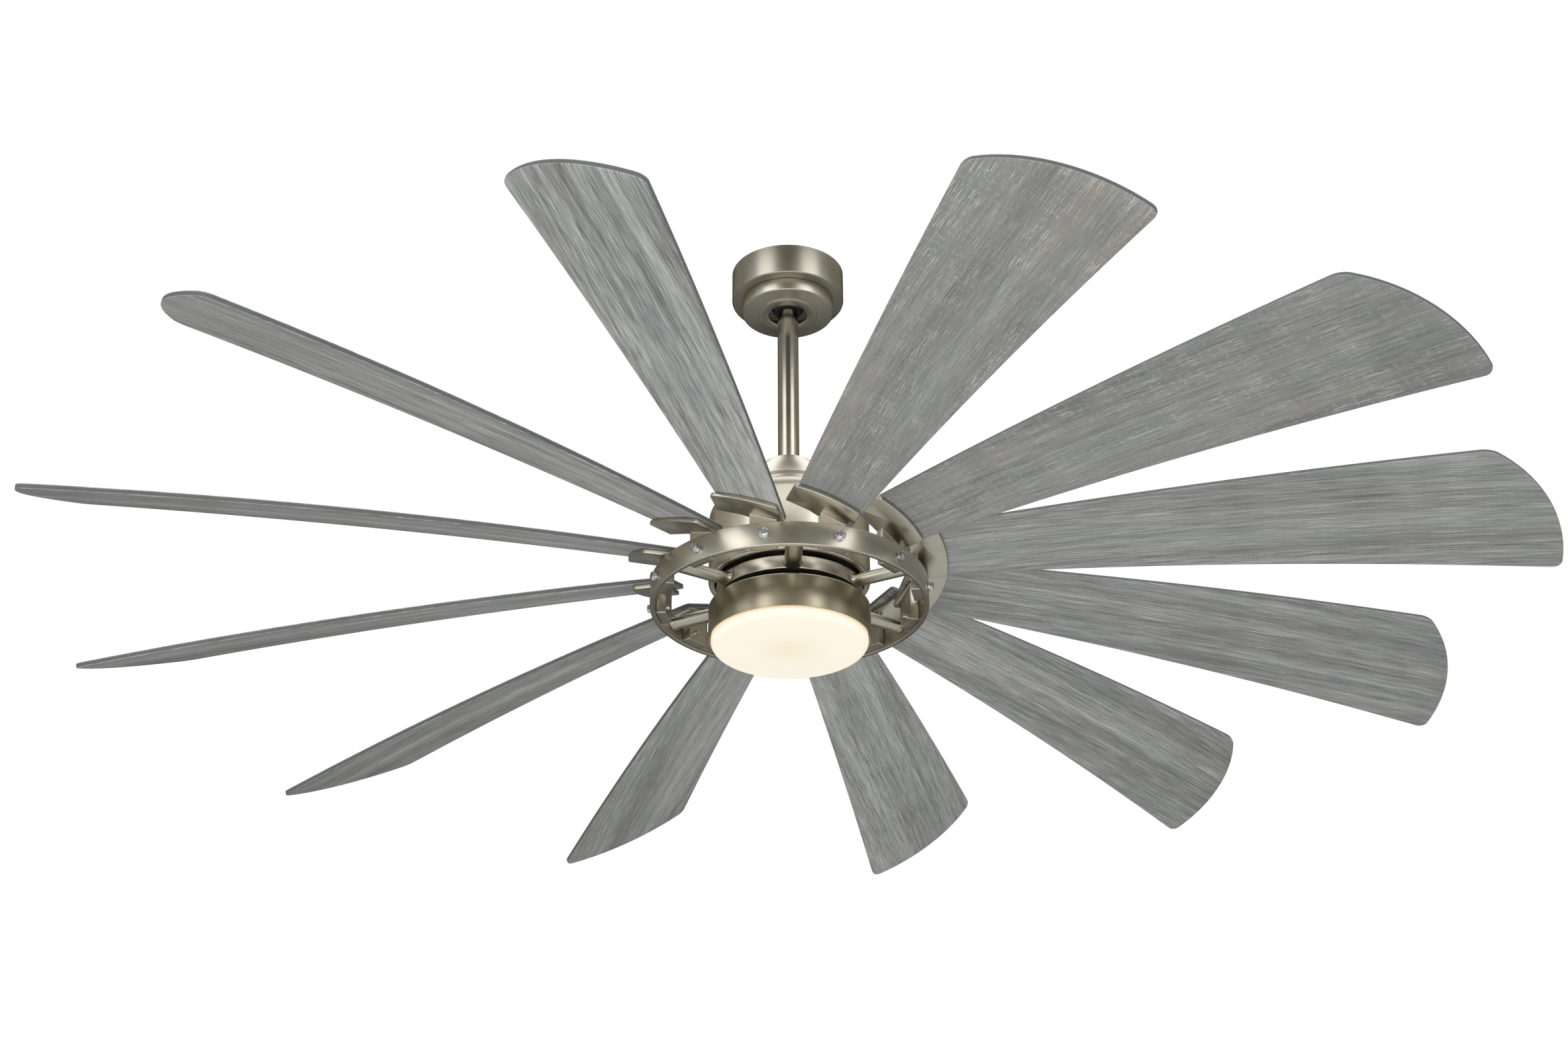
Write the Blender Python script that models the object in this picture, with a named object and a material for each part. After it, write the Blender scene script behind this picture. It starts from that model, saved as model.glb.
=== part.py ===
# Ceiling fan: twelve pitched wooden blades on a spoked ring, a direct drive motor and a light
# Lengths are in metres, +Z is up, and the origin is the middle of the ceiling face of the hanger.
# The whole fan hangs below the origin: levels are worked out downwards from the ceiling.

import math

import bmesh
import bpy
from mathutils import Matrix, Vector

# Shared clearances and numbers of sides
GAP = 0.0003
OVERRUN = 0.003
LARGE_SIDES = 36
MIDDLE_SIDES = 32
SMALL_SIDES = 20
PIN_SIDES = 8
WASHER_SIDES = 12
RING_SIDES = 72
ARC_STEPS = 2
FINE_STEPS = 6

# Canopy, its screw cover and the receiver that it hides
CANOPY_RADIUS = 0.072
CANOPY_HEIGHT = 0.0415
CANOPY_WALL = 0.0015
CANOPY_EDGE_RADIUS = 0.0012
CANOPY_OPENING_RADIUS = 0.044
COVER_RADIUS = 0.0587
COVER_HEIGHT = 0.0172
COVER_COLLAR_RADIUS = 0.0378
COVER_COLLAR_HEIGHT = 0.0025
COVER_HOLE_RADIUS = 0.0247
COVER_SPIGOT_HEIGHT = 0.004
RECEIVER_LENGTH = 0.056
RECEIVER_DEPTH = 0.016
RECEIVER_HEIGHT = 0.024
RECEIVER_EDGE = 0.002

# Hanger bracket, ball and downrod
HANGER_WIDTH = 0.036
HANGER_THICKNESS = 0.0025
HANGER_FRAME_WIDTH = 0.074
HANGER_SEAT_THICKNESS = 0.004
HANGER_SLOT_MARGIN = 0.002
HANGER_SCREW_SPACING = 0.0889
HANGER_SCREW_SLOT_LENGTH = 0.012
HANGER_SCREW_SLOT_WIDTH = 0.005
BALL_DROP = 0.035
BALL_RADIUS = 0.027
BALL_RIM_WIDTH = 0.0018
BALL_FIT = 0.0006
ROD_RADIUS = 0.01335
ROD_WALL = 0.0024
ROD_LENGTH = 0.3048
ROD_ABOVE_BALL = 0.0185
PIN_RADIUS = 0.003

# Coupling between the rod and the motor
YOKE_WALL = 0.0055
YOKE_GRIP = 0.026
YOKE_PIN_HEIGHT = 0.012
YOKE_FLANGE_RADIUS = 0.045
YOKE_FLANGE_THICKNESS = 0.005
YOKE_BASE_DEPTH = 0.012
COUPLING_TOP_RADIUS = 0.0315
COUPLING_BASE_RADIUS = 0.064
COUPLING_HEIGHT = 0.0405
COUPLING_WALL = 0.0015
COUPLING_HOLE_MARGIN = 0.0006
COUPLING_EDGE_RADIUS = 0.0015

# Motor housing
HOUSING_RADIUS = 0.0987
HOUSING_HEIGHT = 0.1247
HOUSING_WALL = 0.002
HOUSING_BAND_RADIUS = 0.0665
HOUSING_BAND_HEIGHT = 0.006
HOUSING_NECK_RADIUS = 0.068
HOUSING_SHOULDER_DROP = 0.0205
HOUSING_SHOULDER_RADIUS = 0.013
HOUSING_RIM_WIDTH = 0.0075
HOUSING_RIM_RADIUS = 0.0025

# Motor: fixed shaft and stator inside a turning case
SHAFT_RADIUS = 0.010
SHAFT_BORE_RADIUS = 0.0055
SHAFT_SHOULDER_WIDTH = 0.004
SHAFT_SHOULDER_HEIGHT = 0.0035
SHAFT_END = 0.011
CASE_CLEARANCE = 0.0127
CASE_HEIGHT = 0.060
CASE_WALL = 0.003
CASE_BOSS_WALL = 0.004
CASE_LIFT = 0.0087
MAGNET_THICKNESS = 0.0055
MAGNET_HEIGHT = 0.030
AIR_GAP = 0.0008
STATOR_HEIGHT = 0.026
STATOR_TEETH = 12
STATOR_HUB_WALL = 0.012
STATOR_TIP_DEPTH = 0.004
tooth_tip_share = 0.84
tooth_stem_share = 0.42
BEARING_WALL = 0.008
BEARING_HEIGHT = 0.008

# Hub, spokes and ring
HUB_STEP = 0.0097
HUB_HEIGHT = 0.0176
HUB_GAP = 0.0043
HUB_BAND_WALL = 0.004
HUB_WEB_THICKNESS = 0.004
HUB_BOSS_RADIUS = 0.040
HUB_BORE_RADIUS = 0.022
HUB_EDGE_RADIUS = 0.001
SPOKE_COUNT = 6
SPOKE_SIDES = 12
SPOKE_WIDTH = 0.021
SPOKE_HEIGHT = 0.0139
SPOKE_DROP = 0.0025
SPOKE_COLLAR_WIDTH = 0.0008
SPOKE_COLLAR_LENGTH = 0.003
SPOKE_ANGLE = math.radians(32.6)
RING_RADIUS = 0.1694
RING_WALL = 0.006
RING_HEIGHT = 0.0303
RING_DROP = 0.0042
RING_EDGE = 0.0008

# Blades
BLADE_COUNT = 12
BLADE_ANGLE = math.radians(-13.06)
BLADE_THICKNESS = 0.006
BLADE_EDGE = 0.0012
BLADE_ROOT_REACH = 0.145
BLADE_TIP_REACH = 0.908
BLADE_ROOT_PLUS_WIDTH = 0.032
BLADE_ROOT_MINUS_WIDTH = 0.0434
BLADE_TIP_PLUS_WIDTH = 0.0878
BLADE_TIP_MINUS_WIDTH = 0.0887
BLADE_TIP_RADIUS = 0.176
BLADE_TIP_OFFSET = 0.055
BLADE_CORNER_RADIUS = 0.013
BLADE_ROOT_CORNER_RADIUS = 0.004
BLADE_HEIGHT = 0.0386
BLADE_PITCH = math.radians(18.7)
BLADE_TWIST = math.radians(4.9)
BLADE_DROOP = 0.031
blade_station_shares = (0.25, 0.5, 0.75)

# Blade brackets, bolted to the inside of the ring
PLATE_THICKNESS = 0.0055
PLATE_REACH = 0.196
PLATE_LIP_RADIUS = 0.140
PLATE_LIP_OFFSET = 0.009
PLATE_PLUS_WIDTH = 0.033
PLATE_MINUS_WIDTH = 0.051
PLATE_BACK_STEP = 0.003
PLATE_TAIL_OVERHANG = 0.008
PLATE_CORNER_RADIUS = 0.004
PLATE_BACK_RADIUS = 0.001
LEG_ANGLE = math.radians(3.4)
LEG_STANDOFF = 0.0035
LEG_THICKNESS = 0.009
LEG_PLUS_WIDTH = 0.013
LEG_MINUS_WIDTH = 0.020
LEG_BEND_RADIUS = 0.008
LEG_FILLET_RADIUS = 0.006
LEG_SINK = 0.0012
LEG_WELD = 0.0002
FOOT_HEIGHT = 0.020
FOOT_LIFT = 0.003
BOLT_RADIUS = 0.003
BOLT_HEAD_WIDTH = 0.010
BOLT_HEAD_HEIGHT = 0.0042
BOLT_WASHER_RADIUS = 0.0062
BOLT_WASHER_HEIGHT = 0.0024
BOLT_END = 0.002

# Light
LIGHT_GAP = 0.007
LIGHT_PLATE_RADIUS = 0.070
LIGHT_PLATE_THICKNESS = 0.003
NUT_WIDTH = 0.030
NUT_HEIGHT = 0.007
DRUM_STEP = 0.0003
DRUM_HEIGHT = 0.0439
DRUM_WALL = 0.0012
DRUM_TOP_RADIUS = 0.003
DRUM_HOLE_MARGIN = 0.003
DRIVER_LENGTH = 0.080
DRIVER_WIDTH = 0.032
DRIVER_HEIGHT = 0.017
DRIVER_OFFSET = 0.044
DRIVER_EDGE = 0.002
TRAY_DROP = 0.0285
TRAY_THICKNESS = 0.0015
TRAY_POST_RADIUS = 0.004
TRAY_POST_COUNT = 3
TRAY_POST_REACH = 0.070
BOARD_STEP = 0.0144
BOARD_THICKNESS = 0.0016
LENS_WALL = 0.0025
LENS_FIT = 0.0006
LENS_NECK_INSET = 0.0034
LENS_NECK_MARGIN = 0.0012
LENS_RIM_HEIGHT = 0.0035
LENS_DEPTH = 0.0082
LENS_EDGE_RADIUS = 0.007
LENS_DOME = 0.003
LUG_COUNT = 3
LUG_ANGLE = math.radians(20)
LUG_HEIGHT = 0.0016
LEDGE_ANGLE = math.radians(26)
LEDGE_HEIGHT = 0.0016

# Levels, from the ceiling down
ball_level = -BALL_DROP
rod_top = ball_level + ROD_ABOVE_BALL
rod_bottom = rod_top - ROD_LENGTH
yoke_base = rod_bottom - YOKE_BASE_DEPTH
yoke_flange_top = yoke_base + YOKE_FLANGE_THICKNESS
yoke_top = rod_bottom + YOKE_GRIP
yoke_pin_level = rod_bottom + YOKE_PIN_HEIGHT
housing_top = yoke_flange_top + GAP + HOUSING_WALL
housing_bottom = housing_top - HOUSING_HEIGHT
coupling_base = housing_top + GAP
hub_top = housing_bottom - HUB_GAP
hub_bottom = hub_top - HUB_HEIGHT
hub_middle = (hub_top + hub_bottom) / 2
spoke_level = hub_middle - SPOKE_DROP
ring_level = hub_middle - RING_DROP
blade_level = ring_level + BLADE_HEIGHT
case_bottom = hub_top + CASE_LIFT + GAP
case_cover_top = case_bottom + CASE_WALL
case_top = case_bottom + CASE_HEIGHT
light_plate_top = hub_bottom - LIGHT_GAP
light_plate_bottom = light_plate_top - LIGHT_PLATE_THICKNESS
drum_top = light_plate_bottom - GAP
drum_bottom = drum_top - DRUM_HEIGHT
tray_top = drum_top - TRAY_DROP
ledge_bottom = drum_bottom + LENS_RIM_HEIGHT + GAP
ledge_top = ledge_bottom + LEDGE_HEIGHT
lug_bottom = ledge_top + GAP
lug_top = lug_bottom + LUG_HEIGHT
lens_neck_top = lug_top + LENS_NECK_MARGIN

# Radii that follow from fits
case_radius = HOUSING_RADIUS - HOUSING_WALL - CASE_CLEARANCE
hub_radius = HOUSING_RADIUS - HUB_STEP
drum_radius = HOUSING_RADIUS - DRUM_STEP
board_radius = drum_radius - BOARD_STEP
rod_bore = ROD_RADIUS - ROD_WALL
rod_hole = ROD_RADIUS + GAP
shaft_hole = SHAFT_RADIUS + GAP
shoulder_radius = SHAFT_RADIUS + SHAFT_SHOULDER_WIDTH
bearing_radius = shaft_hole + BEARING_WALL
case_bore = bearing_radius + GAP
case_inner = case_radius - CASE_WALL
magnet_outer = case_inner - GAP
magnet_inner = magnet_outer - MAGNET_THICKNESS
stator_outer = magnet_inner - AIR_GAP
ring_inner = RING_RADIUS - RING_WALL
foot_reach = ring_inner - GAP
leg_outer = foot_reach - LEG_STANDOFF
leg_inner = leg_outer - LEG_THICKNESS
drum_inner = drum_radius - DRUM_WALL
lens_outer = drum_inner - LENS_FIT
lens_neck = lens_outer - LENS_NECK_INSET


def clear_scene():
    """Start from an empty file."""
    for thing in list(bpy.data.objects):
        bpy.data.objects.remove(thing, do_unlink=True)


def arc(centre, radius, start, end, steps):
    """Points of an arc, both ends included."""
    angles = [start + (end - start) * i / steps for i in range(steps + 1)]
    return [(centre[0] + radius * math.cos(a), centre[1] + radius * math.sin(a)) for a in angles]


def rounded(corners, steps=ARC_STEPS):
    """A closed outline from (x, y, radius) corners, each rounded by its own radius."""
    outline = []
    count = len(corners)
    for i, (x, y, radius) in enumerate(corners):
        here = Vector((x, y))
        if radius <= 0:
            outline.append((x, y))
            continue
        before = Vector(corners[i - 1][:2]) - here
        after = Vector(corners[(i + 1) % count][:2]) - here
        half = before.angle(after) / 2
        reach = min(radius / math.tan(half), before.length / 2, after.length / 2)
        radius = reach * math.tan(half)
        middle = here + (before.normalized() + after.normalized()).normalized() * (radius / math.sin(half))
        start = here + before.normalized() * reach - middle
        end = here + after.normalized() * reach - middle
        turn = start.angle_signed(end)
        for step in range(steps + 1):
            spoke = start.copy()
            spoke.rotate(Matrix.Rotation(-turn * step / steps, 2))
            outline.append(tuple(middle + spoke))
    return outline


def finish_mesh(bm, name, sharp=math.radians(35)):
    """Close the shape, point its faces out and shade it smooth between sharp edges."""
    bmesh.ops.remove_doubles(bm, verts=bm.verts, dist=GAP / 100)
    bmesh.ops.dissolve_degenerate(bm, edges=bm.edges, dist=GAP / 100)
    bmesh.ops.recalc_face_normals(bm, faces=bm.faces)
    mesh = bpy.data.meshes.new(name)
    bm.to_mesh(mesh)
    bm.free()
    mesh.shade_smooth()
    mesh.set_sharp_from_angle(angle=sharp)
    return mesh


def revolve(name, profile, sides):
    """Turn a closed (radius, height) profile round Z."""
    bm = bmesh.new()
    verts = [bm.verts.new((r, 0, z)) for r, z in profile]
    edges = [bm.edges.new((a, b)) for a, b in zip(verts, verts[1:] + verts[:1])]
    bmesh.ops.spin(bm, geom=verts + edges, cent=(0, 0, 0), axis=(0, 0, 1),
                   angle=math.tau, steps=sides, use_merge=True)
    return finish_mesh(bm, name)


def extrude(name, outline, bottom, top):
    """Raise a flat (x, y) outline from one height to another."""
    bm = bmesh.new()
    face = bm.faces.new([bm.verts.new((x, y, bottom)) for x, y in outline])
    raised = bmesh.ops.extrude_face_region(bm, geom=[face])
    moved = [v for v in raised["geom"] if isinstance(v, bmesh.types.BMVert)]
    bmesh.ops.translate(bm, verts=moved, vec=(0, 0, top - bottom))
    return finish_mesh(bm, name)


def box_outline(low_x, high_x, low_y, high_y, radius=0, steps=ARC_STEPS):
    """A rectangle with rounded corners."""
    corners = [(low_x, low_y), (high_x, low_y), (high_x, high_y), (low_x, high_y)]
    return rounded([(*corner, radius) for corner in corners], steps)


def ring_outline(inner, outer, bottom, top):
    """The section of a plain ring."""
    return [(inner, bottom), (outer, bottom), (outer, top), (inner, top)]


def rod(name, radius, start, end, sides=PIN_SIDES):
    """A round bar between two points."""
    start, end = Vector(start), Vector(end)
    bm = bmesh.new()
    bmesh.ops.create_cone(bm, cap_ends=True, segments=sides, radius1=radius, radius2=radius,
                          depth=(end - start).length)
    turn = (end - start).to_track_quat("Z", "Y").to_matrix().to_4x4()
    bmesh.ops.transform(bm, matrix=Matrix.Translation((start + end) / 2) @ turn, verts=bm.verts)
    return finish_mesh(bm, name)


def combine(mesh, others, operation, solver="EXACT"):
    """Boolean result of a mesh with others, as one new mesh."""
    base = bpy.data.objects.new(mesh.name, mesh)
    bpy.context.collection.objects.link(base)
    helpers = []
    for other in others:
        helper = bpy.data.objects.new(other.name, other)
        helper.hide_render = True
        helper.display_type = "WIRE"
        bpy.context.collection.objects.link(helper)
        helpers.append(helper)
        modifier = base.modifiers.new(operation.lower(), "BOOLEAN")
        modifier.operation = operation
        modifier.object = helper
        modifier.solver = solver
    bm = bmesh.new()
    bm.from_object(base, bpy.context.evaluated_depsgraph_get())
    for helper in helpers + [base]:
        bpy.data.objects.remove(helper, do_unlink=True)
    return finish_mesh(bm, mesh.name)


def material(name, color, roughness, metallic):
    """A plain finish for one kind of piece."""
    made = bpy.data.materials.new(name)
    made.use_nodes = True
    shader = made.node_tree.nodes["Principled BSDF"]
    shader.inputs["Base Color"].default_value = (*color, 1)
    shader.inputs["Roughness"].default_value = roughness
    shader.inputs["Metallic"].default_value = metallic
    made.diffuse_color = (*color, 1)
    return made


nickel_color = (0.50, 0.47, 0.41)
steel_color = (0.42, 0.41, 0.39)
black_color = (0.02, 0.02, 0.022)
wood_color = (0.20, 0.21, 0.22)


def satin_nickel(name):
    return material(name, nickel_color, 0.32, 1.0)


def bare_steel(name):
    return material(name, steel_color, 0.38, 1.0)


def black_plastic(name):
    return material(name, black_color, 0.45, 0.0)


def add(name, mesh, look, parent, turn=0.0):
    """Put a mesh in the scene as a named piece, in world heights, under its carrier."""
    piece = bpy.data.objects.new(name, mesh)
    bpy.context.collection.objects.link(piece)
    if not mesh.materials:
        mesh.materials.append(look)
    piece.parent = parent
    piece.matrix_parent_inverse = Matrix.Translation(-parent.matrix_world.translation)
    piece.rotation_euler = (0, 0, turn)
    return piece


def carrier(name, level, parent=None):
    """An empty on a joint's axis."""
    empty = bpy.data.objects.new(name, None)
    bpy.context.collection.objects.link(empty)
    empty.parent = parent
    height = level - (parent.matrix_world.translation.z if parent else 0)
    empty.location = (0, 0, height)
    bpy.context.view_layer.update()
    return empty


def build_canopy(parent):
    """Round canopy: a drum open at the ceiling, with an opening in its floor."""
    inner = CANOPY_RADIUS - CANOPY_WALL
    floor = -CANOPY_HEIGHT
    profile = rounded([
        (CANOPY_OPENING_RADIUS, floor, 0), (CANOPY_RADIUS, floor, CANOPY_EDGE_RADIUS),
        (CANOPY_RADIUS, 0, 0), (inner, 0, 0),
        (inner, floor + CANOPY_WALL, 0), (CANOPY_OPENING_RADIUS, floor + CANOPY_WALL, 0)])
    add("canopy", revolve("canopy", profile, LARGE_SIDES), satin_nickel("canopy_finish"), parent)


def build_canopy_cover(parent):
    """Stepped cover under the canopy, located by a spigot in the canopy's opening."""
    top = -CANOPY_HEIGHT - GAP
    bottom = top - COVER_HEIGHT
    collar = bottom - COVER_COLLAR_HEIGHT
    spigot = CANOPY_OPENING_RADIUS - GAP
    wall = CANOPY_WALL
    profile = rounded([
        (COVER_HOLE_RADIUS, collar, 0), (COVER_COLLAR_RADIUS, collar, CANOPY_EDGE_RADIUS),
        (COVER_COLLAR_RADIUS, bottom, 0), (COVER_RADIUS, bottom, CANOPY_EDGE_RADIUS),
        (COVER_RADIUS, top, 0), (spigot, top, 0),
        (spigot, top + COVER_SPIGOT_HEIGHT, 0), (spigot - wall, top + COVER_SPIGOT_HEIGHT, 0),
        (spigot - wall, top - wall, 0), (COVER_RADIUS - wall, top - wall, 0),
        (COVER_RADIUS - wall, bottom + wall, 0), (COVER_HOLE_RADIUS, bottom + wall, 0)])
    mesh = revolve("canopy_cover", profile, LARGE_SIDES)
    add("canopy_cover", mesh, satin_nickel("canopy_cover_finish"), parent)


def build_receiver(parent):
    """Receiver box that stands on the canopy's floor, beside the hanger."""
    bottom = -CANOPY_HEIGHT + CANOPY_WALL + GAP
    near = CANOPY_OPENING_RADIUS + RECEIVER_EDGE
    half = RECEIVER_LENGTH / 2
    outline = box_outline(-half, half, near, near + RECEIVER_DEPTH, RECEIVER_EDGE)
    mesh = extrude("remote_receiver", outline, bottom, bottom + RECEIVER_HEIGHT)
    add("remote_receiver", mesh, black_plastic("receiver_finish"), parent)


def build_hanger(parent):
    """Bent strap under the ceiling whose floor has a ball seat and a slot for the rod."""
    half_width = HANGER_WIDTH / 2
    frame_half = HANGER_FRAME_WIDTH / 2
    seat_top = ball_level - BALL_RADIUS / 2
    seat_bottom = seat_top - HANGER_SEAT_THICKNESS
    wing = math.sqrt((CANOPY_RADIUS - CANOPY_WALL - GAP) ** 2 - half_width ** 2) - GAP
    outline = [
        (-wing, 0), (-wing, -HANGER_THICKNESS), (-frame_half, -HANGER_THICKNESS), (-frame_half, seat_bottom),
        (frame_half, seat_bottom), (frame_half, -HANGER_THICKNESS), (wing, -HANGER_THICKNESS), (wing, 0)]
    strap = extrude("hanger_bracket", outline, -half_width, half_width)
    strap.transform(Matrix.Rotation(math.radians(90), 4, "X"))
    inner = frame_half - HANGER_THICKNESS
    window = extrude("window", box_outline(-inner, inner, -half_width - OVERRUN, half_width + OVERRUN),
                     seat_top, -HANGER_THICKNESS)
    seat = bmesh.new()
    bmesh.ops.create_uvsphere(seat, u_segments=SMALL_SIDES, v_segments=SMALL_SIDES,
                              radius=BALL_RADIUS + BALL_FIT)
    bmesh.ops.translate(seat, verts=seat.verts, vec=(0, 0, ball_level))
    slot_half = ROD_RADIUS + HANGER_SLOT_MARGIN
    slot = extrude("slot", box_outline(-slot_half, slot_half, 0, half_width + OVERRUN),
                   seat_bottom - OVERRUN, seat_top + OVERRUN)
    cutters = [window, finish_mesh(seat, "seat"), slot]
    for side in (-1, 1):
        middle = side * HANGER_SCREW_SPACING / 2
        half_length = HANGER_SCREW_SLOT_LENGTH / 2
        half_slot = HANGER_SCREW_SLOT_WIDTH / 2
        outline = box_outline(middle - half_length, middle + half_length, -half_slot, half_slot,
                              half_slot, FINE_STEPS)
        cutters.append(extrude("screw_slot", outline, -HANGER_THICKNESS - OVERRUN, OVERRUN))
    mesh = combine(strap, cutters, "DIFFERENCE")
    add("hanger_bracket", mesh, bare_steel("hanger_finish"), parent)


def build_ball(parent):
    """Hanger ball, bored for the rod and drilled for its pin."""
    rim = rod_hole + BALL_RIM_WIDTH
    tilt = math.acos(rim / BALL_RADIUS)
    profile = arc((0, ball_level), BALL_RADIUS, -tilt, tilt, FINE_STEPS)
    flat = BALL_RADIUS * math.sin(tilt)
    profile += [(rod_hole, ball_level + flat), (rod_hole, ball_level - flat)]
    ball = revolve("hanger_ball", profile, SMALL_SIDES)
    reach = BALL_RADIUS + OVERRUN
    hole = rod("hole", PIN_RADIUS + GAP, (-reach, 0, ball_level), (reach, 0, ball_level))
    add("hanger_ball", combine(ball, [hole], "DIFFERENCE"), black_plastic("ball_finish"), parent)
    end = math.sqrt(BALL_RADIUS ** 2 - PIN_RADIUS ** 2)
    pin = rod("ball_pin", PIN_RADIUS, (-end, 0, ball_level), (end, 0, ball_level))
    add("ball_pin", pin, bare_steel("ball_pin_finish"), parent)


def build_downrod(parent):
    """Steel tube with a cross hole at each end."""
    tube = revolve("downrod", ring_outline(rod_bore, ROD_RADIUS, rod_bottom, rod_top), SMALL_SIDES)
    reach = ROD_RADIUS + OVERRUN
    holes = [rod("hole", PIN_RADIUS + GAP, (-reach, 0, z), (reach, 0, z))
             for z in (ball_level, yoke_pin_level)]
    add("downrod", combine(tube, holes, "DIFFERENCE"), satin_nickel("downrod_finish"), parent)


def build_yoke(parent):
    """Socket for the rod on a flange that carries the motor, and its cross pin."""
    outer = rod_hole + YOKE_WALL
    profile = [
        (shaft_hole, yoke_base), (YOKE_FLANGE_RADIUS, yoke_base), (YOKE_FLANGE_RADIUS, yoke_flange_top),
        (outer, yoke_flange_top), (outer, yoke_top), (rod_hole, yoke_top),
        (rod_hole, rod_bottom - GAP), (shaft_hole, rod_bottom - GAP)]
    yoke = revolve("motor_yoke", profile, SMALL_SIDES)
    reach = outer + OVERRUN
    hole = rod("hole", PIN_RADIUS + GAP, (-reach, 0, yoke_pin_level), (reach, 0, yoke_pin_level))
    add("motor_yoke", combine(yoke, [hole], "DIFFERENCE"), bare_steel("yoke_finish"), parent)
    pin = rod("yoke_pin", PIN_RADIUS, (-outer, 0, yoke_pin_level), (outer, 0, yoke_pin_level))
    add("yoke_pin", pin, bare_steel("yoke_pin_finish"), parent)


def build_coupling_cover(parent):
    """Cone that hides the yoke: it slides down the rod onto the housing."""
    top = coupling_base + COUPLING_HEIGHT
    hole = ROD_RADIUS + COUPLING_HOLE_MARGIN
    wall = COUPLING_WALL
    profile = rounded([
        (COUPLING_BASE_RADIUS, coupling_base, 0), (COUPLING_TOP_RADIUS, top, COUPLING_EDGE_RADIUS),
        (hole, top, 0), (hole, top - wall, 0),
        (COUPLING_TOP_RADIUS - wall, top - wall, 0), (COUPLING_BASE_RADIUS - wall * 2, coupling_base, 0)])
    mesh = revolve("coupling_cover", profile, MIDDLE_SIDES)
    add("coupling_cover", mesh, satin_nickel("coupling_finish"), parent)


def build_housing(parent):
    """Motor housing: stepped top, sloping shoulder, straight side and a rim turned in below."""
    wall = HOUSING_WALL
    neck = rod_hole + YOKE_WALL + GAP
    band_low = housing_top - HOUSING_BAND_HEIGHT
    shoulder = band_low - HOUSING_SHOULDER_DROP
    rim = HOUSING_RADIUS - HOUSING_RIM_WIDTH
    inner = HOUSING_RADIUS - wall
    profile = rounded([
        (neck, housing_top, 0), (neck, housing_top - wall, 0),
        (HOUSING_BAND_RADIUS - wall, housing_top - wall, 0), (HOUSING_BAND_RADIUS - wall, band_low - wall, 0),
        (inner, shoulder - wall, HOUSING_SHOULDER_RADIUS - wall), (inner, housing_bottom + wall, 0),
        (rim, housing_bottom + wall, 0), (rim, housing_bottom, 0),
        (HOUSING_RADIUS, housing_bottom, HOUSING_RIM_RADIUS),
        (HOUSING_RADIUS, shoulder, HOUSING_SHOULDER_RADIUS),
        (HOUSING_NECK_RADIUS, band_low, 0), (HOUSING_BAND_RADIUS, band_low, 0),
        (HOUSING_BAND_RADIUS, housing_top, 0)])
    mesh = revolve("motor_housing", profile, LARGE_SIDES)
    add("motor_housing", mesh, satin_nickel("housing_finish"), parent)


def build_shaft(parent):
    """Hollow fixed shaft with a shoulder under the rotor and one over the light plate."""
    top = rod_bottom - GAP
    lower_seat = case_bottom - GAP
    plate_seat = light_plate_top + GAP
    end = light_plate_bottom - SHAFT_END
    profile = [
        (SHAFT_BORE_RADIUS, end), (SHAFT_RADIUS, end),
        (SHAFT_RADIUS, plate_seat), (shoulder_radius, plate_seat),
        (shoulder_radius, plate_seat + SHAFT_SHOULDER_HEIGHT),
        (SHAFT_RADIUS, plate_seat + SHAFT_SHOULDER_HEIGHT),
        (SHAFT_RADIUS, lower_seat - SHAFT_SHOULDER_HEIGHT),
        (shoulder_radius, lower_seat - SHAFT_SHOULDER_HEIGHT),
        (shoulder_radius, lower_seat), (SHAFT_RADIUS, lower_seat),
        (SHAFT_RADIUS, top), (SHAFT_BORE_RADIUS, top)]
    add("motor_shaft", revolve("motor_shaft", profile, SMALL_SIDES), bare_steel("shaft_finish"), parent)


def build_stator(parent):
    """Toothed iron core: each tooth is a stem with a wide tip that faces the magnets."""
    middle = (case_cover_top + case_top - CASE_WALL) / 2
    root = shaft_hole + STATOR_HUB_WALL
    tip = stator_outer - STATOR_TIP_DEPTH
    pitch = math.tau / STATOR_TEETH
    outline = []
    for tooth in range(STATOR_TEETH):
        centre = tooth * pitch
        stem = pitch * tooth_stem_share / 2
        wide = pitch * tooth_tip_share / 2
        stem_outer = stem * root / tip
        for radius, angle in ((root, -stem), (tip, -stem_outer), (tip, -wide), (stator_outer, -wide),
                              (stator_outer, wide), (tip, wide), (tip, stem_outer), (root, stem)):
            outline.append((radius * math.cos(centre + angle), radius * math.sin(centre + angle)))
    core = extrude("stator", outline, middle - STATOR_HEIGHT / 2, middle + STATOR_HEIGHT / 2)
    bore = rod("bore", shaft_hole, (0, 0, middle - STATOR_HEIGHT), (0, 0, middle + STATOR_HEIGHT),
               SMALL_SIDES)
    look = material("stator_finish", (0.30, 0.14, 0.06), 0.5, 0.8)
    add("stator", combine(core, [bore], "DIFFERENCE"), look, parent)


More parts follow.
